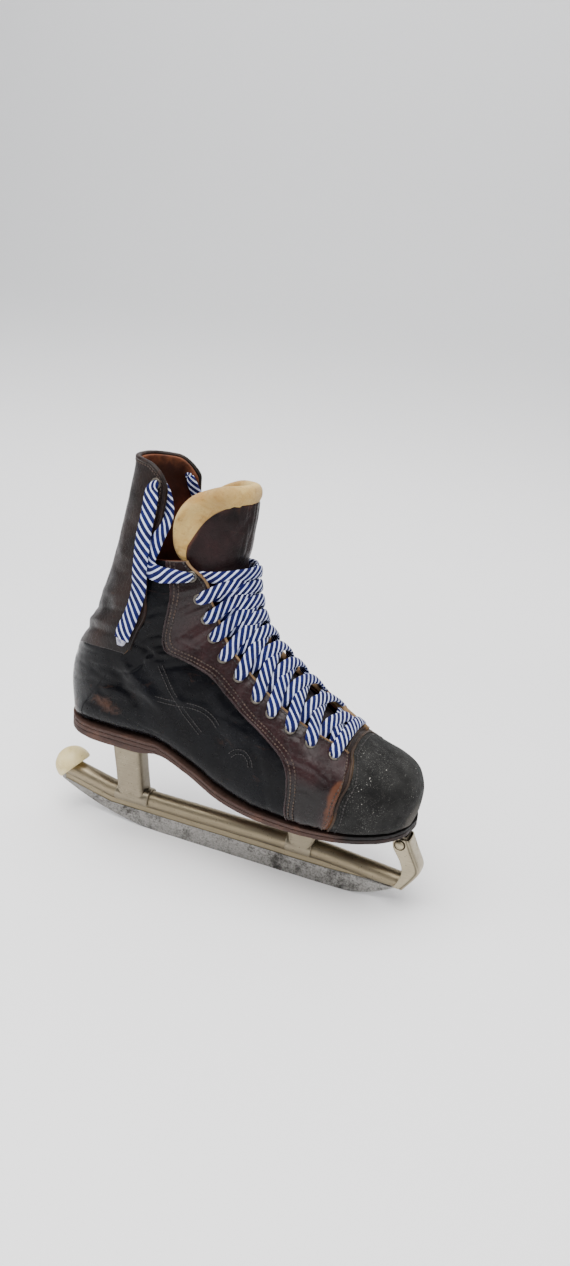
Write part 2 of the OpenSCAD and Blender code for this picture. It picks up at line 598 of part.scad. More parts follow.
// Posts: hollow, wider at the top, straddling the tube
saddle_gap = 0.15;
post_half = tube_r + saddle_gap + post_wall;
saddle_low = 22;
saddle_lip = 3;
module post(x, low, high, top_z) {
    outline = [[x + low[0], saddle_low], [x + low[1], saddle_low], [x + high[1], top_z], [x + high[0], top_z]];
    hollow = [[x + low[0] + post_wall, saddle_low - 1], [x + low[1] - post_wall, saddle_low - 1],
        [x + high[1] - post_wall, top_z + 1], [x + high[0] + post_wall, top_z + 1]];
    reach = low[1] - low[0] + 2 * saddle_lip;
    difference() {
        union() {
            translate([0, post_half, 0]) rotate([90, 0, 0]) linear_extrude(2 * post_half) polygon(outline);
            translate([x + low[0] - saddle_lip, 0, tube_z]) rotate([0, 90, 0])
                cylinder(r = post_half, h = low[1] - low[0] + 2 * saddle_lip);
        }
        translate([0, post_half - post_wall, 0]) rotate([90, 0, 0])
            linear_extrude(2 * (post_half - post_wall)) polygon(hollow);
        translate([x - reach, 0, tube_z]) rotate([0, 90, 0])
            cylinder(r = tube_r + saddle_gap, h = 2 * reach);
        translate([x - reach, -post_half - 1, 0])
            cube([2 * reach, 2 * post_half + 2, saddle_low]);
    }
}
heel_post_low = [-6.5, 16];
heel_post_high = [-16.5, 8];
sole_post_low = [-8.5, 5.5];
sole_post_high = [-15, 20];
module heel_post() {
    color("#b8b0a0") post(heel_post_x, heel_post_low, heel_post_high, heel_base_z - plate_t - 2 * plate_gap);
}
module sole_post() {
    color("#b8b0a0") post(sole_post_x, sole_post_low, sole_post_high, ball_base_z - plate_t - 2 * plate_gap);
}

// Toe brace: channel from the nose of the tube up to a bracket under the toe
brace_half = tube_r + saddle_gap + post_wall;
brace_rivet_z = 53;
toe_plate_half = 10;
toe_us = [4.9, 4.4, 3.9, 3.5, 3.2, 2.9, 2.6];
toe_rivet_u = 4.4;
function toe_base(u) = sole_z(u) + out_low;
toe_base_z = toe_base(2.9);
toe_rivets_at = [[sole_x(toe_rivet_u), 0]];
// The rivet's head hangs this much under the sloping plate
head_drop = 0.4;
toe_rivet_z = toe_base(toe_rivet_u) - head_drop;
brace_top_z = toe_base(3.3) - plate_t - 2 * plate_gap;
brace_outline = [
    [brace_x - 6, brace_top_z], [brace_x - 5, 49], [brace_x + 2, 39], [brace_x + 3.5, 31],
    [brace_x + 3, 18], [brace_x + 7, 17.5], [brace_x + 11, 21], [brace_x + 15.5, 28.5],
    [brace_x + 17, 36], [brace_x + 15, 42], [brace_x + 6, brace_top_z]];
brace_hollow = [
    [brace_x - 12, 70], [brace_x - 12, 10], [brace_x + 5, 10], [brace_x + 9, 20.5],
    [brace_x + 13.8, 29.2], [brace_x + 15.2, 36], [brace_x + 13.4, 41.2], [brace_x + 3.5, 70]];
module toe_brace() {
    color("#b8b0a0") difference() {
        translate([0, brace_half, 0]) rotate([90, 0, 0]) linear_extrude(2 * brace_half) polygon(brace_outline);
        translate([0, brace_half - post_wall, 0]) rotate([90, 0, 0])
            linear_extrude(2 * (brace_half - post_wall)) polygon(brace_hollow);
        brace_pin(rivet_r + rivet_room, brace_half + 1);
    }
}
module brace_pin(r, half) {
    translate([brace_x, half, brace_rivet_z]) rotate([90, 0, 0]) cylinder(r = r, h = 2 * half);
}
lug_half = brace_half - post_wall - saddle_gap;
lug_r = 4;
module toe_plate() {
    outline = concat(
        [for (u = toe_us) [sole_x(u), toe_base(u) - plate_gap]],
        [for (i = [len(toe_us) - 1:-1:0]) [sole_x(toe_us[i]), toe_base(toe_us[i]) - plate_gap - plate_t]]);
    color("#a8a297") difference() {
        union() {
            translate([0, toe_plate_half, 0]) rotate([90, 0, 0])
                linear_extrude(2 * toe_plate_half) polygon(outline);
            translate([brace_x - lug_r, -lug_half, brace_rivet_z - lug_r])
                cube([2 * lug_r, 2 * lug_half, toe_base_z - plate_t - brace_rivet_z + lug_r]);
        }
        brace_pin(rivet_r + rivet_room, brace_half + 1);
        rivet_set(toe_rivets_at, toe_rivet_z, rivet_room);
    }
}
module toe_brace_rivet() {
    color("#8f8a80") {
        brace_pin(rivet_r, brace_half + plate_gap + eps);
        for (s = [-1, 1]) translate([brace_x, s * (brace_half + plate_gap), brace_rivet_z])
            rotate([-90 * s, 0, 0]) cylinder(r1 = head_r, r2 = head_r * 0.7, h = head_t);
    }
}
module toe_rivets() {
    rivets(toe_rivets_at, toe_rivet_z);
}

// Flat lace: a closed ribbon swept along places [u, f, depth, width] on the upper
function band(half, t) = [[half, -t / 2], [half, t / 2], [half * 0.85, t], [-half * 0.85, t],
    [-half, t / 2], [-half, -t / 2], [-half * 0.85, -t], [half * 0.85, -t]];
function side_of(q, mode) = mode == "u" ? along_u(q[0], q[1]) : along_f(q[0], q[1]);
// A fifth entry marks a place inside a hole, where depth runs along the hole's axis
function lace_pt(q) = len(q) > 4 ? boot(q[0], q[1]) - q[2] * outward(q[0], q[1]) : boot(q[0], q[1], q[2]);
module ribbon(route, mode) {
    n = len(route);
    at = [for (q = route) lace_pt(q)];
    rings = [for (i = [0:n - 1])
        let (t = unit(at[min(i + 1, n - 1)] - at[max(i - 1, 0)]), q = route[i])
        let (raw = mode == "n" ? cross(t, outward(q[0], q[1])) : side_of(q, mode))
        let (b = unit(raw - (raw * t) * t), up = cross(t, b))
        for (c = band(q[3] / 2, lace_t / 2)) at[i] + c[0] * b + c[1] * up];
    faces = concat(
        [for (k = [1:6]) [0, k, k + 1]],
        [for (i = [0:n - 2], k = [0:7], h = [0, 1])
            let (a = i * 8 + k, b = i * 8 + (k + 1) % 8)
            h == 0 ? [a, b + 8, b] : [a, a + 8, b + 8]],
        [for (k = [1:6]) let (a = (n - 1) * 8) [a, a + k + 1, a + k]]);
    polyhedron(points = rings, faces = faces);
}
// The laced part: each strand leaves an eyelet outward, crosses the tongue, dips under the
// other facing and comes out of the next eyelet there
lace_hole_w = 3;
over_depth = -lace_t / 2 - 1.4;
under_depth = inner_depth + lining_t + lace_room / 2;
// Depth of the lower strand where two cross, and how far the upper one lies above it
cross_depth = 0.5;
cross_lift = lace_t + 0.8;
function mid_u(a, b, t) = a + (b - a) * t;
function lace_side(f, left) = left ? 2 - f : f;
function crossing(k, left) =
    let (a = eyelet_u(k), b = eyelet_u(k + 1), fa = eyelet_f(a), fb = eyelet_f(b))
    let (edge_a = throat_line(mid_u(a, b, 0.15)), edge_b = throat_line(mid_u(a, b, 0.85)))
    let (lift = left ? cross_lift : 0)
    concat(
        k == 0 ? bar(left) : [
            [a, lace_side(fa, left), inner_depth + lining_t, lace_hole_w, 1],
            [a, lace_side(fa, left), over_depth, lace_hole_w + 0.5, 1],
            [mid_u(a, b, 0.06), lace_side(edge_a, left), over_depth, lace_cross_w - 2.5]],
        [[mid_u(a, b, 0.3), lace_side((edge_a + 1) / 2, left), cross_depth - lift, lace_cross_w],
         [mid_u(a, b, 0.5), 1, cross_depth - lift, lace_cross_w],
         [mid_u(a, b, 0.72), lace_side((edge_b + 1) / 2, !left), cross_depth - lift * 0.9, lace_cross_w - 2],
         [mid_u(a, b, 0.86), lace_side(edge_b + 0.04, !left), under_depth / 2, lace_cross_w - 2],
         [mid_u(a, b, 0.95), lace_side(edge_b - 0.015, !left), under_depth, lace_hole_w + 1],
         [b, lace_side(fb, !left), under_depth, lace_hole_w, 1]]);
// The bar across the bottom goes into the first eyelets from outside and comes back under the facing
bar_u = eyelet_u(0);
bar_f = eyelet_f(bar_u);
function bar(left) = [
    [bar_u, 1 - (left ? -1 : 1) * 0.002, over_depth, lace_cross_w],
    [bar_u, lace_side(bar_f + 0.07, left), over_depth, lace_cross_w],
    [bar_u, lace_side(bar_f, left), over_depth, lace_hole_w + 0.5, 1],
    [bar_u, lace_side(bar_f, left), inner_depth + lining_t, lace_hole_w, 1],
    [bar_u + 0.1, lace_side(bar_f + 0.02, left), under_depth, lace_hole_w],
    [bar_u + 0.15, lace_side(bar_f + 0.085, left), under_depth, lace_hole_w + 1]];
top_u = eyelet_u(eyelet_count - 1);
top_f = eyelet_f(top_u);
function strand(start_left) = concat(
    [for (k = [0:eyelet_count - 2]) each crossing(k, start_left == (k % 2 == 0))],
    let (f = lace_side(top_f, start_left == (eyelet_count % 2 == 1)))
    [[top_u, f, inner_depth + lining_t, lace_hole_w, 1], [top_u, f, -0.9, lace_hole_w, 1]]);
module lace_right() {
    color("#e4e6ee") ribbon(strand(false), "u");
}
module lace_left() {
    color("#e4e6ee") ribbon(strand(true), "u");
}
run_route = [
    [top_u, top_f - 0.005, -2.4, 4], [19.4, 0.56, -2.4, 8], [19.6, 0.5, -2.6, lace_w],
    [19.9, 0.468, -2.8, lace_w], [20.3, 0.458, -2.8, lace_w], [20.8, 0.468, -2.6, 8],
    [21.3, 0.49, -2, 6], [21.7, 0.502, 1, 5], [22.1, 0.495, 5, 5], [22.5, 0.46, 7.5, 6],
    [22.9, 0.425, 7.5, 6], [guard_hole[0], guard_hole[1], 7, 3.4]];
end_route = [
    [guard_hole[0], guard_hole[1], inner_depth + lining_t + 1, lace_hole_w, 1],
    [guard_hole[0], guard_hole[1], over_depth, lace_hole_w + 0.5, 1],
    [22.95, 0.415, -3, 5], [22.6, 0.416, -3, lace_w], [22, 0.42, -3.4, lace_w], [21.4, 0.424, -5.4, lace_w],
    [20.5, 0.432, -5.8, lace_w], [19.6, 0.44, -5.6, lace_w], [19, 0.447, -4, lace_w],
    [18, 0.456, -3.2, lace_w], [17, 0.466, -3, lace_w], [16.2, 0.472, -3, lace_w],
    [15.9, 0.475, -3, lace_w - 1]];
tip_route = [[15.88, 0.475, -3, 6], [15.75, 0.476, -3, 5], [15.6, 0.477, -3, 4.5]];
function mirrored(route) = [for (q = route) [for (i = [0:len(q) - 1]) i == 1 ? -q[i] : q[i]]];
module lace_run_right() {
    color("#e4e6ee") ribbon(run_route, "n");
}
module lace_run_left() {
    color("#e4e6ee") ribbon(mirrored(run_route), "n");
}
module lace_end_right() {
    color("#e4e6ee") ribbon(end_route, "f");
}
module lace_end_left() {
    color("#e4e6ee") ribbon(mirrored(end_route), "f");
}
module lace_tips() {
    color("#c9ccd6") {
        ribbon(tip_route, "f");
        ribbon(mirrored(tip_route), "f");
    }
}

runner();
runner_tube();
heel_tip();
heel_post();
sole_post();
heel_plate();
sole_plate();
toe_plate();
toe_brace();
toe_brace_rivet();
heel_rivets();
sole_rivets();
toe_rivets();
heel_lift();
outsole();
midsole();
insole();
toe_cap();
toe_box();
vamp();
facing_right();
facing_left();
quarter_right();
quarter_left();
heel_counter();
counter_stiffener();
lower_guard();
lower_guard_pad();
tendon_guard();
guard_lining();
lining_right();
lining_left();
tongue_cover();
tongue_felt();
tongue_top_cover();
tongue_top_felt();
eyelets_right();
eyelets_left();
guard_eyelets();
lace_right();
lace_left();
lace_run_right();
lace_run_left();
lace_end_right();
lace_end_left();
lace_tips();
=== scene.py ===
"""Vintage ice hockey skate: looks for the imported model, in the model's own frame.

Lengths are in millimetres until a mesh is made, which puts them into metres. A place on the boot
is (u, f): u runs from the toe round the heel to the guard's rim, f from the lower edge (0) over
the right side (0.5) to the upper edge (1) and on down the left side.
"""
import logging
from dataclasses import dataclass, replace
from enum import Enum
from typing import Optional, Sequence

import bmesh
import bpy
import numpy as np
from mathutils import Matrix


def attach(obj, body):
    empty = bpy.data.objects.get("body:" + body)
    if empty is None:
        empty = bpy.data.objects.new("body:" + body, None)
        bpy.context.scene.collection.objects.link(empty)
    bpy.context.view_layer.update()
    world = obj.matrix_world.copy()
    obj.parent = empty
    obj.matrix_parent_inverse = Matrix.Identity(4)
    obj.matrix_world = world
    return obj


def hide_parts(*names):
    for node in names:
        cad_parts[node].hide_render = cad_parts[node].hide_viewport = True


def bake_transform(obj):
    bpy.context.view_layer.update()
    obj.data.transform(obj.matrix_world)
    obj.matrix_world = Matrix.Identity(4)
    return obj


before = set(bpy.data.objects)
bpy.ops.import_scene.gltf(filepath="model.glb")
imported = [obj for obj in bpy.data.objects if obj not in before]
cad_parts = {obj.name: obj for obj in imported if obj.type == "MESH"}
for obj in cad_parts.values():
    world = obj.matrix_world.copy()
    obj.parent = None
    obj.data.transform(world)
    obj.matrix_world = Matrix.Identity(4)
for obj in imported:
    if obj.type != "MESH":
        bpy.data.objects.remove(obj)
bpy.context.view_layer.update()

Array = np.ndarray
Knots = Sequence[tuple[float, ...]]
Spot = tuple[float, float, float]
Material = bpy.types.Material
Piece = bpy.types.Object
Socket = bpy.types.NodeSocket
MM = 0.001
log = logging.getLogger("skate")


class Body(Enum):
    """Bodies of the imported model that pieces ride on."""
    SKATE = "skate"
    GUARD = "tendon_guard"
    TONGUE = "tongue_top"


class Side(Enum):
    """The wearer's right (outer) and left (inner) side of the boot."""
    RIGHT = "right"
    LEFT = "left"


class Across(Enum):
    """What a lace's width follows: the run of u, the run of f, or the surface it lies on."""
    U = "u"
    F = "f"
    SURFACE = "surface"


# Curves and noise


def unit(v: Array) -> Array:
    """Vectors scaled to length one."""
    return v / np.maximum(np.linalg.norm(v, axis=-1, keepdims=True), 1e-12)


def fade(x: Array | float, low: float, high: float) -> Array:
    """Smooth step: 0 up to low, 1 from high on, with level ends."""
    t = np.clip((np.asarray(x, float) - low) / (high - low), 0, 1)
    return t * t * (3 - 2 * t)


def curve(x: Array, knots: Array, values: Array, tight: bool = False) -> Array:
    """Smooth curve through knots: cubic pieces that share their slope at each knot.

    Args:
        x: Places to read the curve at.
        knots: Rising places of the known values.
        values: Known values, one row for each knot.
        tight: Makes the slope level at turning points, so that nothing overshoots.

    Returns:
        The values at x.
    """
    knots, values = np.asarray(knots, float), np.asarray(values, float)
    flat = values.ndim == 1
    values = values[:, None] if flat else values
    step = np.diff(knots)[:, None]
    rise = np.diff(values, axis=0) / step
    slope = np.concatenate([rise[:1], (rise[:-1] * step[1:] + rise[1:] * step[:-1])
                            / (step[1:] + step[:-1]), rise[-1:]])
    if tight:
        product = rise[:-1] * rise[1:]
        mean = 2 * product / np.where(product > 0, rise[:-1] + rise[1:], 1)
        slope[1:-1] = np.where(product > 0, mean, 0)
    x = np.clip(np.asarray(x, float), knots[0], knots[-1])
    k = np.clip(np.searchsorted(knots, x, side="right") - 1, 0, len(knots) - 2)
    h = step[k]
    t = ((x - knots[k])[..., None]) / h
    out = (values[k] * (1 + 2 * t) * (1 - t) ** 2 + values[k + 1] * t * t * (3 - 2 * t)
           + h * slope[k] * t * (1 - t) ** 2 - h * slope[k + 1] * t * t * (1 - t))
    return out[..., 0] if flat else out


def line(x: Array | float, table: Knots) -> Array:
    """Smooth reading of a table of (x, value) pairs that never overshoots."""
    data = np.asarray(table, float)
    return curve(np.asarray(x, float), data[:, 0], data[:, 1], tight=True)


def along(points: Array) -> Array:
    """Distance travelled along each row of points, starting at 0."""
    gaps = np.linalg.norm(np.diff(points, axis=-2), axis=-1)
    return np.concatenate([np.zeros((*gaps.shape[:-1], 1)), np.cumsum(gaps, axis=-1)], axis=-1)


def spread(*parts: Array | float) -> Array:
    """Arrays spread over each other and joined on a last axis, such as x, y and z of points."""
    return np.stack(np.broadcast_arrays(*parts), -1)


def read_rows(at: Array, run: Array, rows: Array) -> Array:
    """Rows of numbers given at the places run, read at other places by straight lines."""
    return np.stack([np.interp(at, run, column) for column in rows.T], -1)


def turns(n: int) -> Array:
    """Angles of n even steps round a circle."""
    return np.linspace(0, 2 * np.pi, n, endpoint=False)


def squared(wave: Array, power: Array | float) -> Array:
    """A wave made squarer: its size to a power, with its own sign."""
    return np.sign(wave) * np.abs(wave) ** power


def space_curve(points: Array, step: float) -> tuple[Array, Array]:
    """Smooth curve in space through points, read at equal steps.

    Args:
        points: Points that the curve passes, one a row.
        step: Distance between the places read.

    Returns:
        The curve's points, and the place of each among the given ones (0, 1, 2 and so on).
    """
    run = along(points)
    dense = np.linspace(0, run[-1], 12 * len(points))
    track = along(curve(dense, run, points))
    n = max(4, int(track[-1] / step))
    at = np.interp(np.linspace(0, track[-1], n), track, dense)
    return curve(at, run, points), np.interp(at, run, np.arange(len(points)))


def lattice(p: Array, seed: int) -> Array:
    """Value noise from -1 to 1: a value for each unit cell's corner, blended with a smooth fade.

    Args:
        p: Points, one a row.
        seed: Picks one of many such noises.

    Returns:
        One value for each point.
    """
    base = np.floor(p).astype(np.int64)
    t = p - base
    t = t * t * t * (t * (t * 6 - 15) + 10)
    total = np.zeros(p.shape[:-1])
    for corner in np.ndindex(2, 2, 2):
        k = base + np.array(corner)
        h = k[..., 0] * 374761393 + k[..., 1] * 668265263 + k[..., 2] * 2147483647 + seed * 974711
        h = (h ^ (h >> 13)) * 1274126177
        h = (h ^ (h >> 16)) & 0xFFFF
        weight = np.prod(np.where(np.array(corner) == 1, t, 1 - t), axis=-1)
        total += weight * (h / 32767.5 - 1)
    return total


def rough(p: Array, size: float, seed: int = 1, octaves: int = 3) -> Array:
    """Noise with octaves added up, each half as large and half as strong as the one before."""
    return sum(lattice(p / size * 2 ** i, seed + i) * 0.5 ** i for i in range(octaves))


# Meshes


def grid_faces(n: int, m: int, wrap: bool = False) -> Array:
    """Quads of n rows by m columns that face along columns x rows.

    Args:
        n: Number of rows.
        m: Number of columns.
        wrap: Joins the last column to the first.

    Returns:
        Four point numbers for each face.
    """
    i, j = np.meshgrid(np.arange(n - 1), np.arange(m if wrap else m - 1), indexing="ij")
    k = (j + 1) % m
    return spread(i * m + j, i * m + k, (i + 1) * m + k, (i + 1) * m + j).reshape(-1, 4)


def new_piece(name: str, points: Array, faces: Array, finishes: Sequence[Material], uv: Optional[Array] = None,
              values: Optional[dict[str, Array]] = None, weld: bool = False, turn: bool = True) -> Piece:
    """Puts arrays of points and quads into a mesh object at the origin.

    Args:
        name: Name of the piece.
        points: Points in millimetres.
        faces: Four point numbers a face.
        finishes: Materials, the main one first.
        uv: Two numbers a point for the piece's own map.
        values: Named numbers, one a point.
        weld: Merges points at one place.
        turn: Turns a merged piece's faces outwards.

    Returns:
        The new object.
    """
    mesh = bpy.data.meshes.new(name)
    points = np.asarray(points, float).reshape(-1, 3) * MM
    loops = np.ascontiguousarray(faces, dtype=np.int32).reshape(-1)
    mesh.vertices.add(len(points))
    mesh.vertices.foreach_set("co", points.ravel())
    mesh.loops.add(len(loops))
    mesh.loops.foreach_set("vertex_index", loops)
    mesh.polygons.add(len(loops) // 4)
    mesh.polygons.foreach_set("loop_start", np.arange(0, len(loops), 4, dtype=np.int32))
    mesh.update(calc_edges=True)
    if uv is not None:
        layer = mesh.uv_layers.new(name="UVMap")
        layer.data.foreach_set("uv", np.asarray(uv, float).reshape(-1, 2)[loops].ravel())
    for key, value in (values or {}).items():
        attribute = mesh.attributes.new(key, "FLOAT", "POINT")
        attribute.data.foreach_set("value", np.asarray(value, float).ravel())
    for finish in finishes:
        mesh.materials.append(finish)
    if weld:
        work = bmesh.new()
        work.from_mesh(mesh)
        bmesh.ops.remove_doubles(work, verts=work.verts, dist=1e-6)
        if turn:
            bmesh.ops.recalc_face_normals(work, faces=work.faces)
        work.to_mesh(mesh)
        work.free()
    mesh.polygons.foreach_set("use_smooth", np.ones(len(mesh.polygons), dtype=bool))
    mesh.validate()
    mesh.update()
    piece = bpy.data.objects.new(name, mesh)
    bpy.context.scene.collection.objects.link(piece)
    return piece


def soften(piece: Piece) -> None:
    """Rounds a piece with one subdivision."""
    soft = piece.modifiers.new("soft", "SUBSURF")
    soft.levels = soft.render_levels = 1


def thicken(piece: Piece, wall: float, rim: int = 0) -> None:
    """Gives a sheet its wall, inwards from its face, and rounds it.

    Args:
        piece: The sheet.
        wall: Thickness of the wall.
        rim: Steps from the face's material to the raw edge's.
    """
    wall_mod = piece.modifiers.new("wall", "SOLIDIFY")
    wall_mod.thickness, wall_mod.offset = wall * MM, -1
    wall_mod.material_offset_rim = rim
    soften(piece)


def dress(piece: Piece, slot: str, *nodes: str, body: Body = Body.SKATE) -> Piece:
    """Makes a piece ride on a body and stand for CAD nodes."""
    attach(piece, body.value)
    return entitle(piece, slot, *nodes)


def entitle(piece: Piece, slot: str, *nodes: str) -> Piece:
    """Hides the CAD nodes that a piece stands for, and logs the piece with them.

    Args:
        piece: The piece.
        slot: Finish slot; not used.
        nodes: CAD nodes that it replaces.

    Returns:
        The piece.
    """
    if nodes:
        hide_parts(*nodes)
    log.info("%s: %d points, stands for %s", piece.name, len(piece.data.vertices), ", ".join(nodes) or "no node")
    return piece


def tube(name: str, rings: Array, finishes: Sequence[Material], uv: Optional[Array] = None,
         values: Optional[dict[str, Array]] = None, wrap: bool = True) -> Piece:
    """Closed body from rings of points; each end is drawn together to the middle of its ring.

    Args:
        name: Name of the piece.
        rings: Rings by points by three.
        finishes: Materials.
        uv: Two numbers for each point of the rings.
        values: Named numbers for each point of the rings.
        wrap: Joins each ring's last point to its first; left out where the rings repeat it.

    Returns:
        The new object.
    """
    def capped(a: Array, mean: bool) -> Array:
        """The array with its end rings repeated.

        Args:
            a: Rings of values.
            mean: Draws the repeated rings together to a point.

        Returns:
            Two more rings than given.
        """
        ends = [a[:1], a[-1:]]
        if mean:
            ends = [np.broadcast_to((e[:, :1] + e[:, e.shape[1] // 2:][:, :1]) / 2, e.shape) for e in ends]
        return np.concatenate([ends[0], a, ends[1]])

    points = capped(rings, True)
    n, m = points.shape[:2]
    return new_piece(name, points, grid_faces(n, m, wrap), finishes, None if uv is None else capped(uv, False),
                     {k: capped(v, False) for k, v in (values or {}).items()}, weld=True)


def revolved(profile: Knots, sides: int) -> Array:
    """Rings of a profile turned round +Z.

    Args:
        profile: Pairs of radius and height.
        sides: Points in a ring.

    Returns:
        Profile by sides by three.
    """
    r, z = np.asarray(profile, float).T
    a = turns(sides)
    return spread(r[:, None] * np.cos(a), r[:, None] * np.sin(a), z[:, None])


def copies(points: Array, faces: Array, place: Array, turn: Array) -> tuple[Array, Array]:
    """The same small shape set at many places.

    Args:
        points: The shape's points, one a row.
        faces: Its quads.
        place: One place a copy.
        turn: Three axes a copy, as rows of a matrix.

    Returns:
        All points and all quads.
    """
    many = place[:, None, :] + np.einsum("pk,ckx->cpx", points, turn)
    shift = np.arange(len(place))[:, None, None] * len(points)
    return many.reshape(-1, 3), (faces[None] + shift).reshape(-1, 4)


# Boot form

CAGE = np.array([
    [141.9, 82, 142, 83, .6, 3, 2.2, .45, 1, 4], [139.6, 69.8, 141.2, 94, 13, 3.5, 2.3, .42, 1, 4],
    [136.8, 68.5, 137.5, 101.5, 21.5, 4, 2.4, .40, .9, 4], [130, 66.5, 131, 107.5, 29, 4.5, 2.5, .38, .7, 3.5],
    [118, 65, 118, 112.5, 36.5, 5, 2.5, .38, .3, 2.5], [100, 63.5, 100, 117.5, 42, 5, 2.5, .38, 0, 1],
    [80, 63, 84, 126, 44.5, 5, 2.3, .38, 0, 0], [58, 63, 67, 138.5, 45, 5, 2.2, .38, 0, -.5],
    [32, 63.55, 50, 152, 43, 5, 2.1, .39, 0, 0], [5, 68.5, 34.5, 165, 40.5, 5, 2, .40, 0, .5],
    [-20, 79.5, 23.5, 175, 38.5, 5, 2, .41, 0, .5], [-50, 90.225, 16.5, 183.5, 37.5, 5, 2, .42, 0, 0],
    [-85, 90.5, 12.5, 191, 37, 5, 2, .43, 0, 0], [-115, 90.5, 10, 198, 37, 4.5, 2, .44, 0, 0],
    [-129, 97, 8.5, 203.5, 37, 2.5, 2, .45, 0, 0], [-132.5, 116, 7, 208.5, 37.5, 2.2, 2, .45, 0, 0],
    [-129.5, 138, 6, 213, 38, 2.2, 2, .46, 0, 0], [-120, 158, 5, 217, 38, 2.2, 2, .47, 0, 0],
    [-111.5, 180, 4.5, 221.5, 36.5, 2.2, 2, .48, 0, 0], [-106, 198, 4, 226.5, 35, 2.2, 2.1, .48, 0, 0],
    [-101.5, 214, 3.5, 232, 33, 2.3, 2.1, .48, 0, 0], [-97, 234, 2.5, 242, 30.5, 2.4, 2.1, .47, 0, 0],
    [-93, 257, 1.5, 257, 28, 2.5, 2.1, .46, 0, 0], [-90, 276, .5, 271, 26, 2.5, 2.1, .45, 0, 0],
    [-88.5, 290, 0, 283, 25, 2.5, 2.1, .45, 0, 0]])
THROAT = ((5.65, .86), (6.8, .81), (7.6, .785), (8.4, .768), (9.1, .763), (11.4, .763), (12.9, .778),
          (14.8, .775), (17.1, .74), (19.2, .68), (20.3, .597))
GUARD_LINE = ((14.9, .475), (15.1, .5), (16.6, .513), (18.5, .468), (20.3, .443), (21.3, .457), (22.4, .47),
              (24, .463))
GUARD_FOOT = ((0, 16.5), (.44, 16.28), (.79, 15.68), (1, 14.95))
GUARD_RIM = ((0, 24), (.7, 24), (.9, 23.6), (1, 23.1))
SOLE_LINE = ((0, 0), (1.2, 0), (2.2, .10), (12.5, .10), (13.9, .005))
EYELET_U = np.array([5.9, 6.8, 7.6, 8.4, 9.1, 10.2, 11.4, 12.9, 14.8, 17.1, 19.2])
EYELET_INSET = 8.0
GUARD_HOLE = (23.1, .415)
COLLAR_U = 20.3
RIM_U = 24


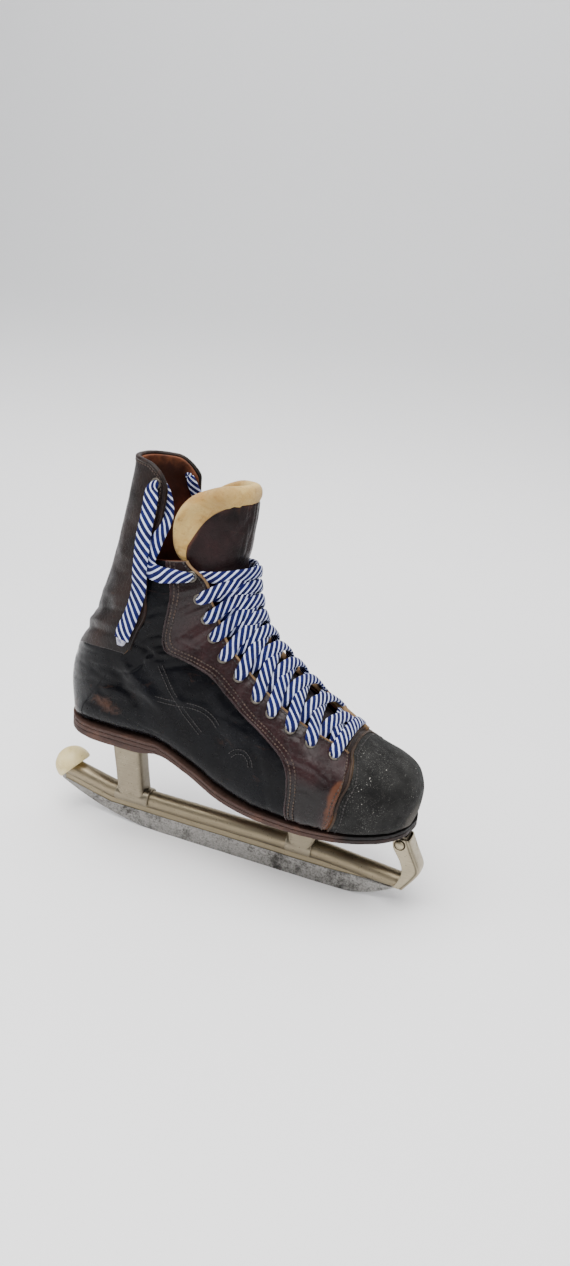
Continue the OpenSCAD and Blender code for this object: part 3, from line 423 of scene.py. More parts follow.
@dataclass(frozen=True)
class BootForm:
    """The upper's outer skin, drawn over the rows of a cage.

    Attributes:
        low_fade: Length of a row's chord under which an inner layer draws back less.
        side_fade: Half width of a row under which an inner layer draws back less.
    """
    low_fade: float = 40.0
    side_fade: float = 32.0

    def rows(self, u: Array) -> Array:
        """Cage row at u, on Catmull-Rom curves through the rows.

        Args:
            u: Place along the boot.

        Returns:
            Ten numbers for each place.
        """
        last = len(CAGE) - 1
        u = np.clip(np.asarray(u, float), 0, last)
        k = np.minimum(u.astype(int), last - 1)
        t = (u - k)[..., None]
        a, b, c, d = (CAGE[np.clip(k + i, 0, last)] for i in (-1, 0, 1, 2))
        return b + 0.5 * t * ((c - a) + t * ((2 * a - 5 * b + 4 * c - d) + t * (3 * (b - c) + d - a)))

    def point(self, u: Array, f: Array, depth: Array | float = 0.0) -> Array:
        """Place on the upper: a squared oval round the row's chord, drawn in by depth.

        Args:
            u: Place along the boot.
            f: Place round the row's oval, 0 at the lower point and 1 at the upper one.
            depth: How far under the outer skin.

        Returns:
            Points in millimetres.
        """
        u, f, depth = np.broadcast_arrays(np.asarray(u, float), np.asarray(f, float), np.asarray(depth, float))
        row = np.moveaxis(self.rows(u), -1, 0)
        low_x, low_z, high_x, high_z, half, sq_low, sq_high, widest, toe, swing = row
        span = np.hypot(high_x - low_x, high_z - low_z)
        draw = depth * np.minimum(1, span / self.low_fade)
        half = half - depth * np.minimum(1, half / self.side_fade)
        c, s = np.cos(np.pi * f), np.sin(np.pi * f)
        power = 2 / np.where(c >= 0, sq_low, sq_high)
        up, out = np.abs(c) ** power, squared(s, power)
        share = np.where(c >= 0, widest * (1 - up), widest + (1 - widest) * up)
        reach = draw + share * (span - 2 * draw)
        return spread(low_x + (high_x - low_x) / span * reach - toe * depth, swing - half * out,
                      low_z + (high_z - low_z) / span * reach)

    def axes(self, u: Array, f: Array) -> tuple[Array, Array, Array]:
        """Unit directions at a place, from small steps of u and f.

        Args:
            u: Place along the boot.
            f: Place round the row's oval.

        Returns:
            The directions along u, along f, and outwards (along f x along u).
        """
        u, f = np.broadcast_arrays(np.asarray(u, float), np.asarray(f, float))
        by_u = unit(self.point(np.minimum(u + .05, RIM_U), f) - self.point(np.maximum(u - .05, 0), f))
        by_f = unit(self.point(u, f + .008) - self.point(u, f - .008))
        out = unit(np.cross(by_f, by_u))
        tip = fade(u, .15, .9)[..., None]
        return by_u, by_f, unit(out * tip + np.array([1.0, 0, 0]) * (1 - tip))

    def raised(self, u: Array, f: Array, rise: Array | float) -> Array:
        """Points lifted off the skin by rise, along the outward direction."""
        return self.point(u, f) + self.axes(u, f)[2] * np.asarray(rise, float)[..., None]

    def share(self, u: Array, f: Array) -> Array:
        """Height share along the row's chord for a place round it: f 0, 1, 2 give 0, 1, 2.

        Args:
            u: Place along the boot.
            f: Place round the row's oval.

        Returns:
            The share at each place.
        """
        base = 2 * np.floor((f + 1) / 2)
        sq_low, sq_high, widest = np.moveaxis(self.rows(u)[..., 5:8], -1, 0)
        c = np.cos(np.pi * np.abs(f - base))
        up = np.abs(c) ** (2 / np.where(c >= 0, sq_low, sq_high))
        return base + np.sign(f - base) * np.where(c >= 0, widest * (1 - up), widest + (1 - widest) * up)

    def turn(self, u: Array, share: Array) -> Array:
        """Place round the row for a height share along its chord: undoes share.

        Args:
            u: Place along the boot.
            share: Height share.

        Returns:
            The place f for each share.
        """
        base = 2 * np.floor((share + 1) / 2)
        sq_low, sq_high, widest = np.moveaxis(self.rows(u)[..., 5:8], -1, 0)
        q = np.abs(share - base)
        up = np.clip(np.where(q < widest, 1 - q / widest, (q - widest) / (1 - widest)), 0, 1)
        c = up ** (np.where(q < widest, sq_low, sq_high) / 2)
        return base + np.sign(share - base) * np.arccos(np.where(q < widest, c, -c)) / np.pi

    def path(self, places: Knots, rise: float = 0.0, step: float = 1.0) -> tuple[Array, Array]:
        """Smooth line through places (u, f) on the upper.

        Args:
            places: Places that the line passes.
            rise: How far off the skin it lies.
            step: Distance between its points.

        Returns:
            Points, and the outward direction at each.
        """
        u, f = np.asarray(places, float).T
        run = along(self.point(u, f))
        n = max(6, int(run[-1] / step))
        u, share = curve(np.linspace(0, run[-1], n), run, spread(u, self.share(u, f))).T
        f = self.turn(u, share)
        return self.raised(u, f, rise), self.axes(u, f)[2]

    def even(self, uf: Array, m: int) -> Array:
        """Resamples each row of places so that its m points lie at equal distances in space.

        Args:
            uf: Rows of densely spaced places (u, f).
            m: Points wanted in each row.

        Returns:
            Rows of m places.
        """
        run = along(self.point(uf[..., 0], uf[..., 1]))
        want = np.linspace(0, 1, m)
        return np.stack([np.stack([np.interp(want * r[-1], r, row[:, i]) for i in (0, 1)], -1)
                         for r, row in zip(run, uf)])

    def patch(self, stations: Sequence[Knots], n: int, m: int) -> Array:
        """Grid of places on a panel that is given by stations across it.

        Args:
            stations: For each station the places (u, f) on the panel's rails, two or three.
            n: Rows along the rails.
            m: Points across.

        Returns:
            n by m places (u, f).
        """
        a = np.asarray(stations, float)
        gaps = np.linalg.norm(np.diff(self.point(a[..., 0], a[..., 1]), axis=0), axis=-1).mean(axis=1)
        run = np.concatenate([[0], np.cumsum(gaps)])
        rails = curve(np.linspace(0, run[-1], n), run, a.reshape(len(a), -1), tight=True).reshape(n, -1, 2)
        t = np.linspace(0, 1, 121)
        count = rails.shape[1]
        dense = curve(t, np.linspace(0, 1, count), np.moveaxis(rails, 1, 0).reshape(count, -1), tight=True)
        return self.even(np.moveaxis(dense.reshape(len(t), n, 2), 1, 0), m)


FORM = BootForm()


def eyelet_places() -> Array:
    """Places of the right side's eyelets, EYELET_INSET inside the facing's edge.

    Returns:
        One place (u, f) for each eyelet.
    """
    f = line(EYELET_U, THROAT)
    back = np.linspace(0, .2, 81)
    run = along(FORM.point(EYELET_U[:, None], f[:, None] - back))
    inset = np.array([np.interp(EYELET_INSET, r, back) for r in run])
    return spread(EYELET_U, f - inset)


@dataclass(frozen=True)
class Mark:
    """A fold, ridge or groove that follows a line on the leather.

    Attributes:
        places: Places (u, f) that its line passes.
        width: Half width of its swell.
        height: Height of the swell, negative for a groove.
        value: How much it counts as worn.
    """
    places: Knots
    width: float
    height: float
    value: float = 0.0

    def swell(self, points: Array) -> Array:
        """Bell curve of the distance to the line, 1 on it; its ends fade out.

        Args:
            points: Points on the leather.

        Returns:
            The curve's value at each point.
        """
        path, _ = FORM.path(self.places, step=1.5)
        flat = points.reshape(-1, 3)
        gap = np.linalg.norm(flat[:, None] - path[None], axis=-1)
        near = gap.argmin(axis=1)
        end = np.sin(np.pi * np.clip((near + .5) / len(path), 0, 1)) ** .5
        return (np.exp(-(gap.min(axis=1) / self.width) ** 2) * end).reshape(points.shape[:-1])

    def mirror(self) -> "Mark":
        """The same mark on the left side."""
        return replace(self, places=mirrored(self.places))


def by_share(*places: tuple[float, float]) -> Array:
    """Places given by u and the height share on the right side, as (u, f)."""
    u, share = np.array(places, float).T
    return spread(u, FORM.turn(u, share))


def other_side(grid: Array) -> Array:
    """The same grid of places on the left side, its rows turned so that faces still point outwards."""
    return spread(grid[..., 0], 2 - grid[..., 1])[:, ::-1]


def on_side(places: Array, side: Side) -> Array:
    """Places of the right side, put on the side wanted."""
    return spread(places[:, 0], 2 - places[:, 1]) if side is Side.LEFT else places


def mirrored(places: Knots) -> tuple[tuple[float, float], ...]:
    """The same places on the left side."""
    return tuple((u, 2 - f) for u, f in places)


# Places on the boot: panels as pairs of places on both edges, folds as places, width, height and wear.
FACING_RAILS = (
    ((6.85, .10), (5.62, .10)), ((6.88, .3), (5.56, .3)), ((6.95, .42), (5.37, .48)),
    ((7.05, .5), (5.22, .62)), ((7.2, .56), (5.2, .76)), ((7.42, .595), (5.42, .855)),
    ((7.7, .612), (5.75, .856)), ((8.05, .622), (6.3, .832)), ((8.5, .63), (7.0, .803)),
    ((9.2, .631), (8.2, .772)), ((10, .633), (9.4, .763)), ((11.7, .64), (11.4, .763)),
    ((13.3, .622), (13.1, .777)), ((14.0, .607), (14, .777)), ((14.5, .604), (14.6, .776)),
    ((16, .605), (16, .757)), ((18.7, .56), (18.7, .695)), ((20.3, .515), (20.3, .597)),
)
QUARTER_RAILS = (
    ((6.95, .09), (6.79, .12)), ((7.6, .09), (6.82, .25)), ((8.4, .09), (6.89, .40)),
    ((9.2, .09), (7.0, .51)), ((10.0, .09), (7.2, .585)), ((10.8, .09), (7.55, .64)),
    ((11.5, .09), (8.4, .66)), ((12.1, .095), (9.6, .66)), ((12.7, .13), (11.0, .665)),
    ((13.4, .25), (12.4, .66)), ((14.2, .37), (13.6, .64)), ((14.9, .445), (14.8, .635)),
    ((16.1, .485), (16.0, .64)), ((17.4, .47), (17.3, .62)), ((18.6, .445), (18.7, .585)),
    ((20.3, .425), (20.3, .54)),
)
ARCS = (
    by_share((13.24, .585), (12.7, .56), (12.1, .512), (11.4, .438), (10.9, .38), (10.46, .348), (10.1, .328)),
    by_share((12.34, .385), (11.74, .395), (11.3, .412), (10.9, .446), (10.48, .475), (10.1, .478), (9.7, .455)),
    by_share((9.1, .34), (8.94, .41), (8.64, .45), (8.36, .423), (8.22, .365)),
)
FACING_CREASES = (
    (((7.35, .59), (6.6, .623), (5.75, .60)), 1.8, -1.0, .1),
    (((7.3, .62), (6.6, .655), (5.7, .64)), 3.2, .7),
    (((7.0, .50), (6.5, .53), (6.0, .52)), 1.6, -.5, .1),
    (((6.75, .47), (6.7, .30), (6.65, .14)), 1.5, -.45),
    (((6.45, .48), (6.4, .32), (6.4, .14)), 1.5, .45), (((6.15, .48), (6.15, .32), (6.1, .14)), 1.5, -.4),
    (((5.82, .12), (5.82, .30), (5.8, .46), (5.72, .58)), .9, -.7),
    (((5.55, .11), (5.55, .30), (5.5, .48), (5.4, .58), (5.22, .645)), 4.2, .0, .62),
    (((5.45, .52), (5.35, .60), (5.2, .645)), 2.6, .0, .5),
    (((5.95, .12), (5.95, .25), (5.9, .42)), 3.5, .0, .35),
    (((8.0, .64), (7.9, .70), (7.6, .75)), 2.2, -.4, .1),
    (((9.8, .65), (9.7, .69), (9.6, .74)), 2.4, .35),
    (((12.3, .65), (12.2, .70), (12.4, .75)), 2.6, -.4, .1),
    (((14.0, .62), (14.3, .68), (14.2, .75)), 3.0, .4),
    (((15.2, .62), (15.0, .68), (15.3, .74)), 2.0, -.5, .1),
    (((10.9, .65), (10.7, .70), (10.8, .75)), 2.0, -.4, .1),
)
SIDE_FOLDS = (
    (by_share((14.8, .408), (13.9, .443), (12.78, .418), (12.04, .365), (11.4, .308)), 3.2, 1.7),
    (by_share((14.6, .36), (13.7, .37), (12.7, .34), (12.0, .28)), 3.8, -1.4),
    (by_share((14.3, .50), (13.4, .50), (12.4, .47), (11.8, .42)), 4.0, -.7),
    (((15.6, .57), (14.6, .55), (13.4, .60)), 2.2, -.7),
    (((15.3, .52), (15.4, .56), (15.1, .62)), 1.8, -.8),
    (((16.8, .60), (17.0, .56), (16.9, .51)), 2.2, -.6),
    (((14.4, .53), (14.1, .57), (13.3, .63)), 2.0, .7),
    (((13.0, .56), (12.6, .60), (12.0, .64)), 2.0, -.5),
    (((14.8, .56), (14.5, .60), (14.2, .63)), 1.6, -.6),
    (by_share((10.6, .55), (10.0, .44), (9.4, .40), (8.4, .42)), 5.0, -.7),
    (((8.6, .58), (8.1, .52), (7.6, .42)), 3.0, -.5), (((7.6, .45), (7.5, .3), (7.5, .16)), 2.2, -.5),
    (((8.0, .42), (8.0, .3), (8.0, .15)), 2.2, .4),
    (by_share((9.86, .353), (9.18, .405), (8.74, .435)), 5.0, .0, .34),
    (((8.6, .3), (8.4, .2), (8.3, .12)), 5.0, .0, .30),
    (((9.9, .12), (9.2, .11), (8.0, .10), (7.2, .10)), 2.6, .0, .40),
)
HEEL_SCUFFS = (
    (by_share((13.75, .17), (13.08, .205), (12.54, .20), (12.06, .163)), 10.0, .0, .45),
    (by_share((13.3, .20), (13.0, .21), (12.7, .20)), 4.5, .0, .06),
)
GUARD_FOLDS = (
    (((16.9, -.30), (16.95, .0), (16.9, .30), (16.3, .44)), 2.2, -1.3, .1),
    (((17.25, -.32), (17.3, 0), (17.25, .30), (16.75, .45)), 2.4, 1.4, .1),
    (((17.7, -.3), (17.75, 0), (17.7, .33), (17.3, .47)), 2.2, -1.1, .1),
    (((19.7, .44), (19.5, .36), (19.6, .25)), 2.6, -.7, .15),
    (((20.5, .44), (20.3, .33), (20.5, .2)), 3.0, .7, .1),
    (((20.2, -.44), (20.0, -.33), (20.2, -.2)), 3.0, -.7, .1),
    (((18.6, .46), (18.4, .35), (18.5, .2), (18.4, .05)), 3.2, .5, .05),
    (((21.6, .2), (21.4, .32), (21.6, .44)), 3.4, -.5, .05),
    (((19.0, -.05), (20.0, -.03), (21.2, -.06)), 4.0, -.5),
    (((22.6, .1), (22.3, .25), (22.5, .36)), 5.0, .5),
)


# Finishes


def srgb(code: str) -> tuple[float, float, float, float]:
    """Linear colour of a screen colour.

    Args:
        code: Its six digits.

    Returns:
        Red, green, blue and a full alpha.
    """
    raw = np.array([int(code[i:i + 2], 16) for i in (0, 2, 4)]) / 255
    lin = np.where(raw <= .04045, raw / 12.92, ((raw + .055) / 1.055) ** 2.4)
    return (*(float(v) for v in lin), 1.0)


class Graph:
    """A material's nodes, with short calls for the patterns used here."""

    def __init__(self, name: str) -> None:
        """Starts a material with one principled shader.

        Args:
            name: Name of the material.
        """
        self.material = bpy.data.materials.new(name)
        self.material.use_nodes = True
        self.tree = self.material.node_tree
        self.tree.nodes.clear()
        out = self.tree.nodes.new("ShaderNodeOutputMaterial")
        self.shader = self.tree.nodes.new("ShaderNodeBsdfPrincipled")
        self.tree.links.new(self.shader.outputs[0], out.inputs[0])
        self.coords = self.tree.nodes.new("ShaderNodeTexCoord")

    def put(self, socket: Socket, value: object) -> None:
        """Links a socket to another one, or sets its value.

        Args:
            socket: Socket to fill.
            value: Another socket, a screen colour's digits, or a value.
        """
        if isinstance(value, Socket):
            self.tree.links.new(value, socket)
        else:
            socket.default_value = srgb(value) if isinstance(value, str) else value

    def node(self, kind: str, output: int | str, inputs: dict[int | str, object], **settings: object) -> Socket:
        """Adds a node to the material.

        Args:
            kind: Blender's name of it, without ShaderNode.
            output: The output wanted.
            inputs: What its inputs get.
            settings: Its own settings.

        Returns:
            That output.
        """
        node = self.tree.nodes.new("ShaderNode" + kind)
        for key, value in settings.items():
            setattr(node, key, value)
        for key, value in inputs.items():
            self.put(node.inputs[key], value)
        return node.outputs[output]

    def place(self, stretch: Sequence[float] = (1, 1, 1), turn: Sequence[float] = (0, 0, 0),
              source: str = "Object") -> Socket:
        """Coordinates of the object or of its map, stretched and turned."""
        return self.node("Mapping", 0, {"Vector": self.coords.outputs[source], "Scale": stretch, "Rotation": turn})

    def noise(self, scale: float, detail: float = 4, harsh: float = .55, warp: float = 0,
              vector: Optional[Socket] = None) -> Socket:
        """Noise from 0 to 1, its scale in cells a metre for object coordinates."""
        return self.node("TexNoise", 0, {"Vector": vector or self.coords.outputs["Object"], "Scale": scale,
                                         "Detail": detail, "Roughness": harsh, "Distortion": warp})

    def cells(self, scale: float, edges: bool = False) -> Socket:
        """Distance to the nearest of scattered points, or to the border between two cells."""
        return self.node("TexVoronoi", "Distance", {"Vector": self.coords.outputs["Object"], "Scale": scale},
                         feature="DISTANCE_TO_EDGE" if edges else "F1")

    def math(self, kind: str, a: object, b: object = 0.0) -> Socket:
        """One sum on two sockets or numbers."""
        return self.node("Math", 0, {0: a, 1: b}, operation=kind)

    def times(self, a: object, b: object) -> Socket:
        """Product of two sockets or numbers."""
        return self.math("MULTIPLY", a, b)

    def plus(self, a: object, b: object) -> Socket:
        """Sum of two sockets or numbers."""
        return self.math("ADD", a, b)

    def span(self, value: Socket, low: float, high: float, to_low: float = 0.0, to_high: float = 1.0) -> Socket:
        """Maps the range low to high smoothly onto the range to_low to to_high."""
        return self.node("MapRange", 0, {"Value": value, "From Min": low, "From Max": high, "To Min": to_low,
                                         "To Max": to_high}, interpolation_type="SMOOTHSTEP")

    def mix(self, share: object, a: object, b: object) -> Socket:
        """Mixes two colours, with a share of the second one."""
        return self.node("Mix", 2, {0: share, 6: a, 7: b}, data_type="RGBA")

    def number(self, name: str) -> Socket:
        """A number stored at the mesh's points, 0 where a mesh has none."""
        return self.node("Attribute", "Fac", {}, attribute_name=name)

    def axis(self, vector: Socket, which: int) -> Socket:
        """Part 0, 1 or 2 of a vector."""
        return self.node("SeparateXYZ", which, {0: vector})

    def bump(self, *layers: tuple[Socket, float]) -> None:
        """Chains height patterns into the shader's normal.

        Args:
            layers: Each pattern with its depth in millimetres.
        """
        normal: dict[int | str, object] = {}
        for height, depth in layers:
            normal = {"Normal": self.node("Bump", 0, {"Distance": depth * MM, "Height": height, **normal})}
        self.put(self.shader.inputs["Normal"], normal["Normal"])

    def set(self, **values: object) -> Material:
        """Sets or links the shader's sockets.

        Args:
            values: Socket names, with _ for a space, and what they get.

        Returns:
            The material.
        """
        for key, value in values.items():
            self.put(self.shader.inputs[key.replace("_", " ")], value)
        return self.material


@dataclass(frozen=True)
class Leather:
    """Old leather: grain, cracks, scuffs and a paler colour where it is worn.

    Attributes:
        name: Name of the material.
        hide: Main colour.
        shade: Colour of the darker clouds.
        worn: Colour where the finish has rubbed off.
        gloss: Roughness of the best kept and of the dullest places.
        speckle: Share of pale specks.
        crack: Depth of the cracks in millimetres.
        sheen: Specular level.
        grit: Depth of the grain in millimetres.
    """
    name: str
    hide: str
    shade: str
    worn: str
    gloss: tuple[float, float] = (.38, .62)
    speckle: float = 0.0
    crack: float = .12
    sheen: float = .5
    grit: float = .05

    def make(self) -> Material:
        """Builds the material's nodes.

        Returns:
            The material.
        """
        g = Graph(self.name)
        clouds, patches = g.noise(28, 5, .6), g.noise(140, 6, .65, .4)
        grain = g.cells(950)
        warped = g.cells(310, edges=True)
        fine = g.noise(2600, 3)
        worn_at = g.span(g.plus(g.times(g.number("wear"), 1.15), g.times(g.math("SUBTRACT", patches, .5), .75)),
                         .30, .78)
        scuff = g.span(g.noise(95, 8, .72, 1.2, g.place((.35, 1.3, 1.3), (0, .6, 0))), .60, .74)
        crack = g.span(warped, 0.0, .055, 1.0, 0.0)
        colour = g.mix(g.span(clouds, .35, .68), self.shade, self.hide)
        colour = g.mix(g.times(scuff, .30), colour, self.worn)
        colour = g.mix(g.times(crack, .30), colour, self.shade)
        # Darkening value: painted shade in the guard's hollow; on the facings a darker tone on the vamp wing's
        # lower part and towards the collar.
        colour = g.mix(g.times(g.number("darkening"), .8), colour, "0f0c0b")
        colour = g.mix(worn_at, colour, self.worn)
        if self.speckle:
            spots = g.times(g.span(g.cells(430), .10, .22, 1.0, 0.0), g.span(g.noise(75, 5, .7), .52, .66))
            dust = g.times(g.span(g.noise(1300, 4, .7), .56, .70), g.span(g.noise(48, 5, .7), .36, .62))
            mask = g.math("MAXIMUM", spots, g.times(dust, .36))
            colour = g.mix(g.times(mask, self.speckle), colour, "b4b2ac")
        dull = g.plus(g.span(patches, .3, .75, self.gloss[0], self.gloss[1]), g.times(worn_at, .12))
        g.bump((g.noise(26, 3, .5), .6), (g.noise(110, 2, .5), .09), (crack, -.4 * self.crack),
               (grain, .3 * self.grit), (fine, .12 * self.grit))
        return g.set(Base_Color=colour, Roughness=dull, Specular_IOR_Level=self.sheen)


@dataclass(frozen=True)
class Steel:
    """Plated or bare sheet steel, dulled, scratched along its run and stained.

    Attributes:
        name: Name of the material.
        bright: Colour of the clean metal.
        stain: Colour of the stains.
        gloss: Roughness of the best kept and of the dullest places.
        mottle: How much of the surface is stained, 0 to 1.
        pits: Depth of the pits in millimetres.
        grain: Strength of the fine dark speckle of bare steel.
    """
    name: str
    bright: str
    stain: str
    gloss: tuple[float, float] = (.22, .48)
    mottle: float = .35
    pits: float = .05
    grain: float = 0.0

    def make(self) -> Material:
        """Builds the material's nodes.

        Returns:
            The material.
        """
        g = Graph(self.name)
        clouds, blots = g.noise(34, 6, .62, .5), g.noise(190, 7, .7)
        drawn = g.noise(60, 5, .6, 0, g.place((1.2, 30, 30)))
        spots = g.span(g.cells(330), .07, .16, 1.0, 0.0)
        rust = g.span(g.plus(g.times(clouds, .6), g.times(blots, .4)),
                      .66 - .26 * self.mottle, .80 - .20 * self.mottle)
        colour = g.mix(g.span(drawn, .3, .7, 0.0, .22), self.bright, self.stain)
        colour = g.mix(g.times(rust, .85), colour, self.stain)
        if self.grain:
            speckle = g.times(g.span(g.noise(620, 6, .8), .44, .62), g.span(clouds, .30, .62, .35, 1.0))
            colour = g.mix(g.times(speckle, self.grain), colour, self.stain)
        colour = g.mix(g.times(spots, .6), colour, "3a3128")
        # Darkening value: painted shade along the tube's ledges, on the posts' front faces and in the toe brace's
        # groove; a darker stain towards the runner's rear.
        colour = g.mix(g.times(g.number("darkening"), .85), colour, "1d1914")
        dull = g.plus(g.span(blots, .3, .72, self.gloss[0], self.gloss[1]), g.times(rust, .22))
        g.bump((g.noise(30, 2, .5), 4 * self.pits), (g.noise(150, 2, .5), self.pits), (drawn, .002), (spots, -.04))
        return g.set(Base_Color=colour, Roughness=dull, Metallic=1.0)


@dataclass(frozen=True)
class LaceCotton:
    """Woven flat lace, white with navy stripes that wind round it, by its own map.

    Attributes:
        name: Name of the material.
        pitch: Distance between stripes along the lace.
        slant: How far a stripe runs along the lace for each millimetre across it.
    """
    name: str = "striped cotton"
    pitch: float = 6.0
    slant: float = 1.0

    def make(self) -> Material:
        """Builds the material's nodes; the map holds millimetres round and along the lace.

        Returns:
            The material.
        """
        g = Graph(self.name)
        place = g.place(source="UV")
        x, y = g.axis(place, 0), g.axis(place, 1)
        ragged = g.times(g.math("SUBTRACT", g.noise(1.6, 2, .5, 0, place), .5), .7)
        turn = g.plus(g.plus(y, g.times(x, self.slant)), ragged)
        wave = g.math("SINE", g.times(turn, 2 * np.pi / self.pitch))
        stripe = g.span(wave, -.68, -.34)
        ribs = g.math("SINE", g.times(g.plus(y, g.times(x, .5)), 2 * np.pi / .75))
        warp = g.math("SINE", g.times(x, 2 * np.pi / .8))
        weave = g.plus(ribs, warp)
        soil = g.span(g.noise(55, 6, .65), .42, .72)
        white = g.mix(soil, "dfe6ff", "bac5ec")
        navy = g.mix(g.span(g.noise(240, 4), .3, .7), "080b3c", "11175a")
        colour = g.mix(stripe, white, navy)
        # Painted shade: darker grey-blue in the weave's troughs.
        colour = g.mix(g.span(weave, -1.8, -.6, .30, 0.0), colour, "4a4c62")
        g.bump((weave, .10), (g.noise(900, 4), .10))
        return g.set(Base_Color=colour, Roughness=.85, Specular_IOR_Level=.12)


@dataclass(frozen=True)
class Felt:
    """Pressed wool felt, cream with brown and yellow stains."""
    name: str = "wool felt"

    def make(self) -> Material:
        """Builds the material's nodes.

        Returns:
            The material.
        """
        g = Graph(self.name)
        clouds, blots, hairs = g.noise(42, 6, .65, .6), g.noise(170, 6, .7), g.noise(1500, 6, .75, 1.5)
        colour = g.mix(g.span(clouds, .38, .66), "cfb06a", "ac8136")
        colour = g.mix(g.times(g.span(blots, .50, .72), .7), colour, "7d5426")
        colour = g.mix(g.times(g.number("wear"), .55), colour, "6e4d2c")
        colour = g.mix(g.span(hairs, .35, .62, .35, 0.0), colour, "9a8057")
        g.bump((clouds, .9), (blots, .6), (hairs, .45))
        return g.set(Base_Color=colour, Roughness=.95, Sheen_Weight=.2, Sheen_Roughness=.6, Specular_IOR_Level=.15)


@dataclass(frozen=True)
class SoleStack:
    """Edge of stacked sole leather: fine layers along it, dark dressing rubbed off in places."""
    name: str
    dressed: str
    raw: str

    def make(self) -> Material:
        """Builds the material's nodes.

        Returns:
            The material.
        """
        g = Graph(self.name)
        layers = g.noise(70, 6, .7, .3, g.place((.6, .6, 26)))
        clouds, blots = g.noise(55, 6, .65, .4), g.noise(420, 5, .7)
        bare = g.span(g.plus(g.times(clouds, .7), g.times(blots, .3)), .46, .68)
        colour = g.mix(g.times(bare, .7), self.dressed, self.raw)
        colour = g.mix(g.span(layers, .35, .6, .45, 0.0), colour, "2a1812")
        # Darkening value: darker towards the sole's toe.
        colour = g.mix(g.number("darkening"), colour, "110f0f")
        g.bump((clouds, .4), (layers, .10), (blots, .12))
        return g.set(Base_Color=colour, Roughness=g.span(blots, .3, .7, .52, .8), Specular_IOR_Level=.3)


@dataclass(frozen=True)
class Plastic:
    """Aged moulded plastic: cream, a little yellow, with grime and fine scratches."""
    name: str = "cream plastic"

    def make(self) -> Material:
        """Builds the material's nodes.

        Returns:
            The material.
        """
        g = Graph(self.name)
        clouds, darker_patch = g.noise(60, 5, .6), g.noise(260, 7, .72, .8)
        scratch = g.noise(150, 6, .6, .4, g.place((1, 9, 2)))
        colour = g.mix(g.span(clouds, .35, .7), "d6c591", "b9a56c")
        colour = g.mix(g.times(g.span(darker_patch, .56, .74), .65), colour, "6f6144")
        colour = g.mix(g.times(g.span(scratch, .62, .72), .3), colour, "f6efdb")
        g.bump((clouds, .2), (darker_patch, .05), (scratch, .02))
        return g.set(Base_Color=colour, Roughness=g.span(darker_patch, .3, .7, .30, .58), Subsurface_Weight=.12,
                     Subsurface_Radius=(.004, .003, .002))


@dataclass(frozen=True)
class Thread:
    """Waxed sewing thread, twisted."""
    name: str
    colour: str
    darkening: str

    def make(self) -> Material:
        """Builds the material's nodes.

        Returns:
            The material.
        """
        g = Graph(self.name)
        twist = g.noise(1800, 3)
        colour = g.mix(g.span(g.noise(160, 5, .7), .4, .65), self.colour, self.darkening)
        g.bump((twist, .08))
        return g.set(Base_Color=colour, Roughness=g.span(twist, .3, .7, .5, .75))


@dataclass(frozen=True)
class Paper:
    """Plain pale backdrop paper, faintly cloudy, with painted shade that makes it a little darker where it stands
    up.
    """
    name: str = "backdrop paper"

    def make(self) -> Material:
        """Builds the material's nodes.

        Returns:
            The material.
        """
        g = Graph(self.name)
        # Painted shade: darker where the paper stands up.
        high = g.span(g.axis(g.place(), 2), 0.0, .40)
        colour = g.mix(high, g.mix(g.noise(6, 3), "fbfbfc", "f8f8fa"), "c6c7c9")
        return g.set(Base_Color=colour, Roughness=.9, Specular_IOR_Level=.1)


class Finishes:
    """All finishes of the skate, each made once."""

    def __init__(self) -> None:
        """Makes the materials."""
        self.black = Leather("black leather", "090a0e", "040406", "4c3225", (.18, .34), 0, .06, .105).make()
        self.toe = Leather("toe leather", "2a2a29", "141414", "4c4945", (.62, .92), .85, .2, .12, .5).make()
        self.brown = Leather("brown leather", "2f1d1e", "180e0f", "4f2e1e", (.19, .35), sheen=.25).make()
        self.vamp = Leather("vamp leather", "2b1b16", "140c0a", "59361f", (.40, .66), .25, .18, .2).make()
        self.guard = Leather("guard leather", "251915", "100a09", "553727", (.30, .50), 0, .16, .17).make()
        self.lining = Leather("lining leather", "522619", "280f08", "74442a", (.42, .66), sheen=.25).make()
        self.tongue = Leather("tongue leather", "261617", "0f0909", "4c2f24", (.30, .50), 0, .3, .15).make()
        self.raw = Leather("raw leather edge", "8a7050", "5c4630", "a58a62", (.6, .85), sheen=.2).make()
        self.bound = Leather("bound edge", "44352a", "281e18", "5e4a38", (.5, .75), sheen=.2).make()
        self.board = Leather("board leather", "6e5135", "4c3521", "a98a66", (.6, .85), sheen=.2).make()
        self.tube = Steel("tube plating", "8b806a", "544a35", (.34, .50), .12, .02).make()
        self.post = Steel("post plating", "877e6c", "4f4738", (.26, .48), .30).make()
        self.brace = Steel("brace plating", "a39983", "5a4f3c", (.28, .50), .34, .04).make()
        self.plate = Steel("plate steel", "7d7567", "463c30", (.35, .6), .5).make()
        self.runner = Steel("runner steel", "a19f9b", "4c4a47", (.36, .64), .62, .09, .75).make()
        self.rivet = Steel("rivet steel", "a89d84", "4c4334", (.3, .55), .3).make()
        # Ring round the brace's rivet heads: grime, and painted contact shadow.
        self.darker_patch = Steel("grimy_shadowed steel", "3a3227", "1d1812", (.5, .8), .6).make()
        self.eyelet = Steel("eyelet metal", "6a655d", "2a2723", (.25, .5), .4).make()
        self.lace = LaceCotton().make()
        self.lace_tip = Thread("pressed lace tip", "b9bac6", "4a4c66").make()
        self.felt = Felt().make()
        self.sole = SoleStack("sole leather", "3f2d27", "6a4b3e").make()
        self.lift = SoleStack("heel leather", "3a2924", "61463a").make()
        self.plastic = Plastic().make()
        self.thread = Thread("dark thread", "2e2a29", "121010").make()
        self.pale_thread = Thread("worn thread", "453429", "1e1612").make()
        self.paper = Paper().make()


# Studio


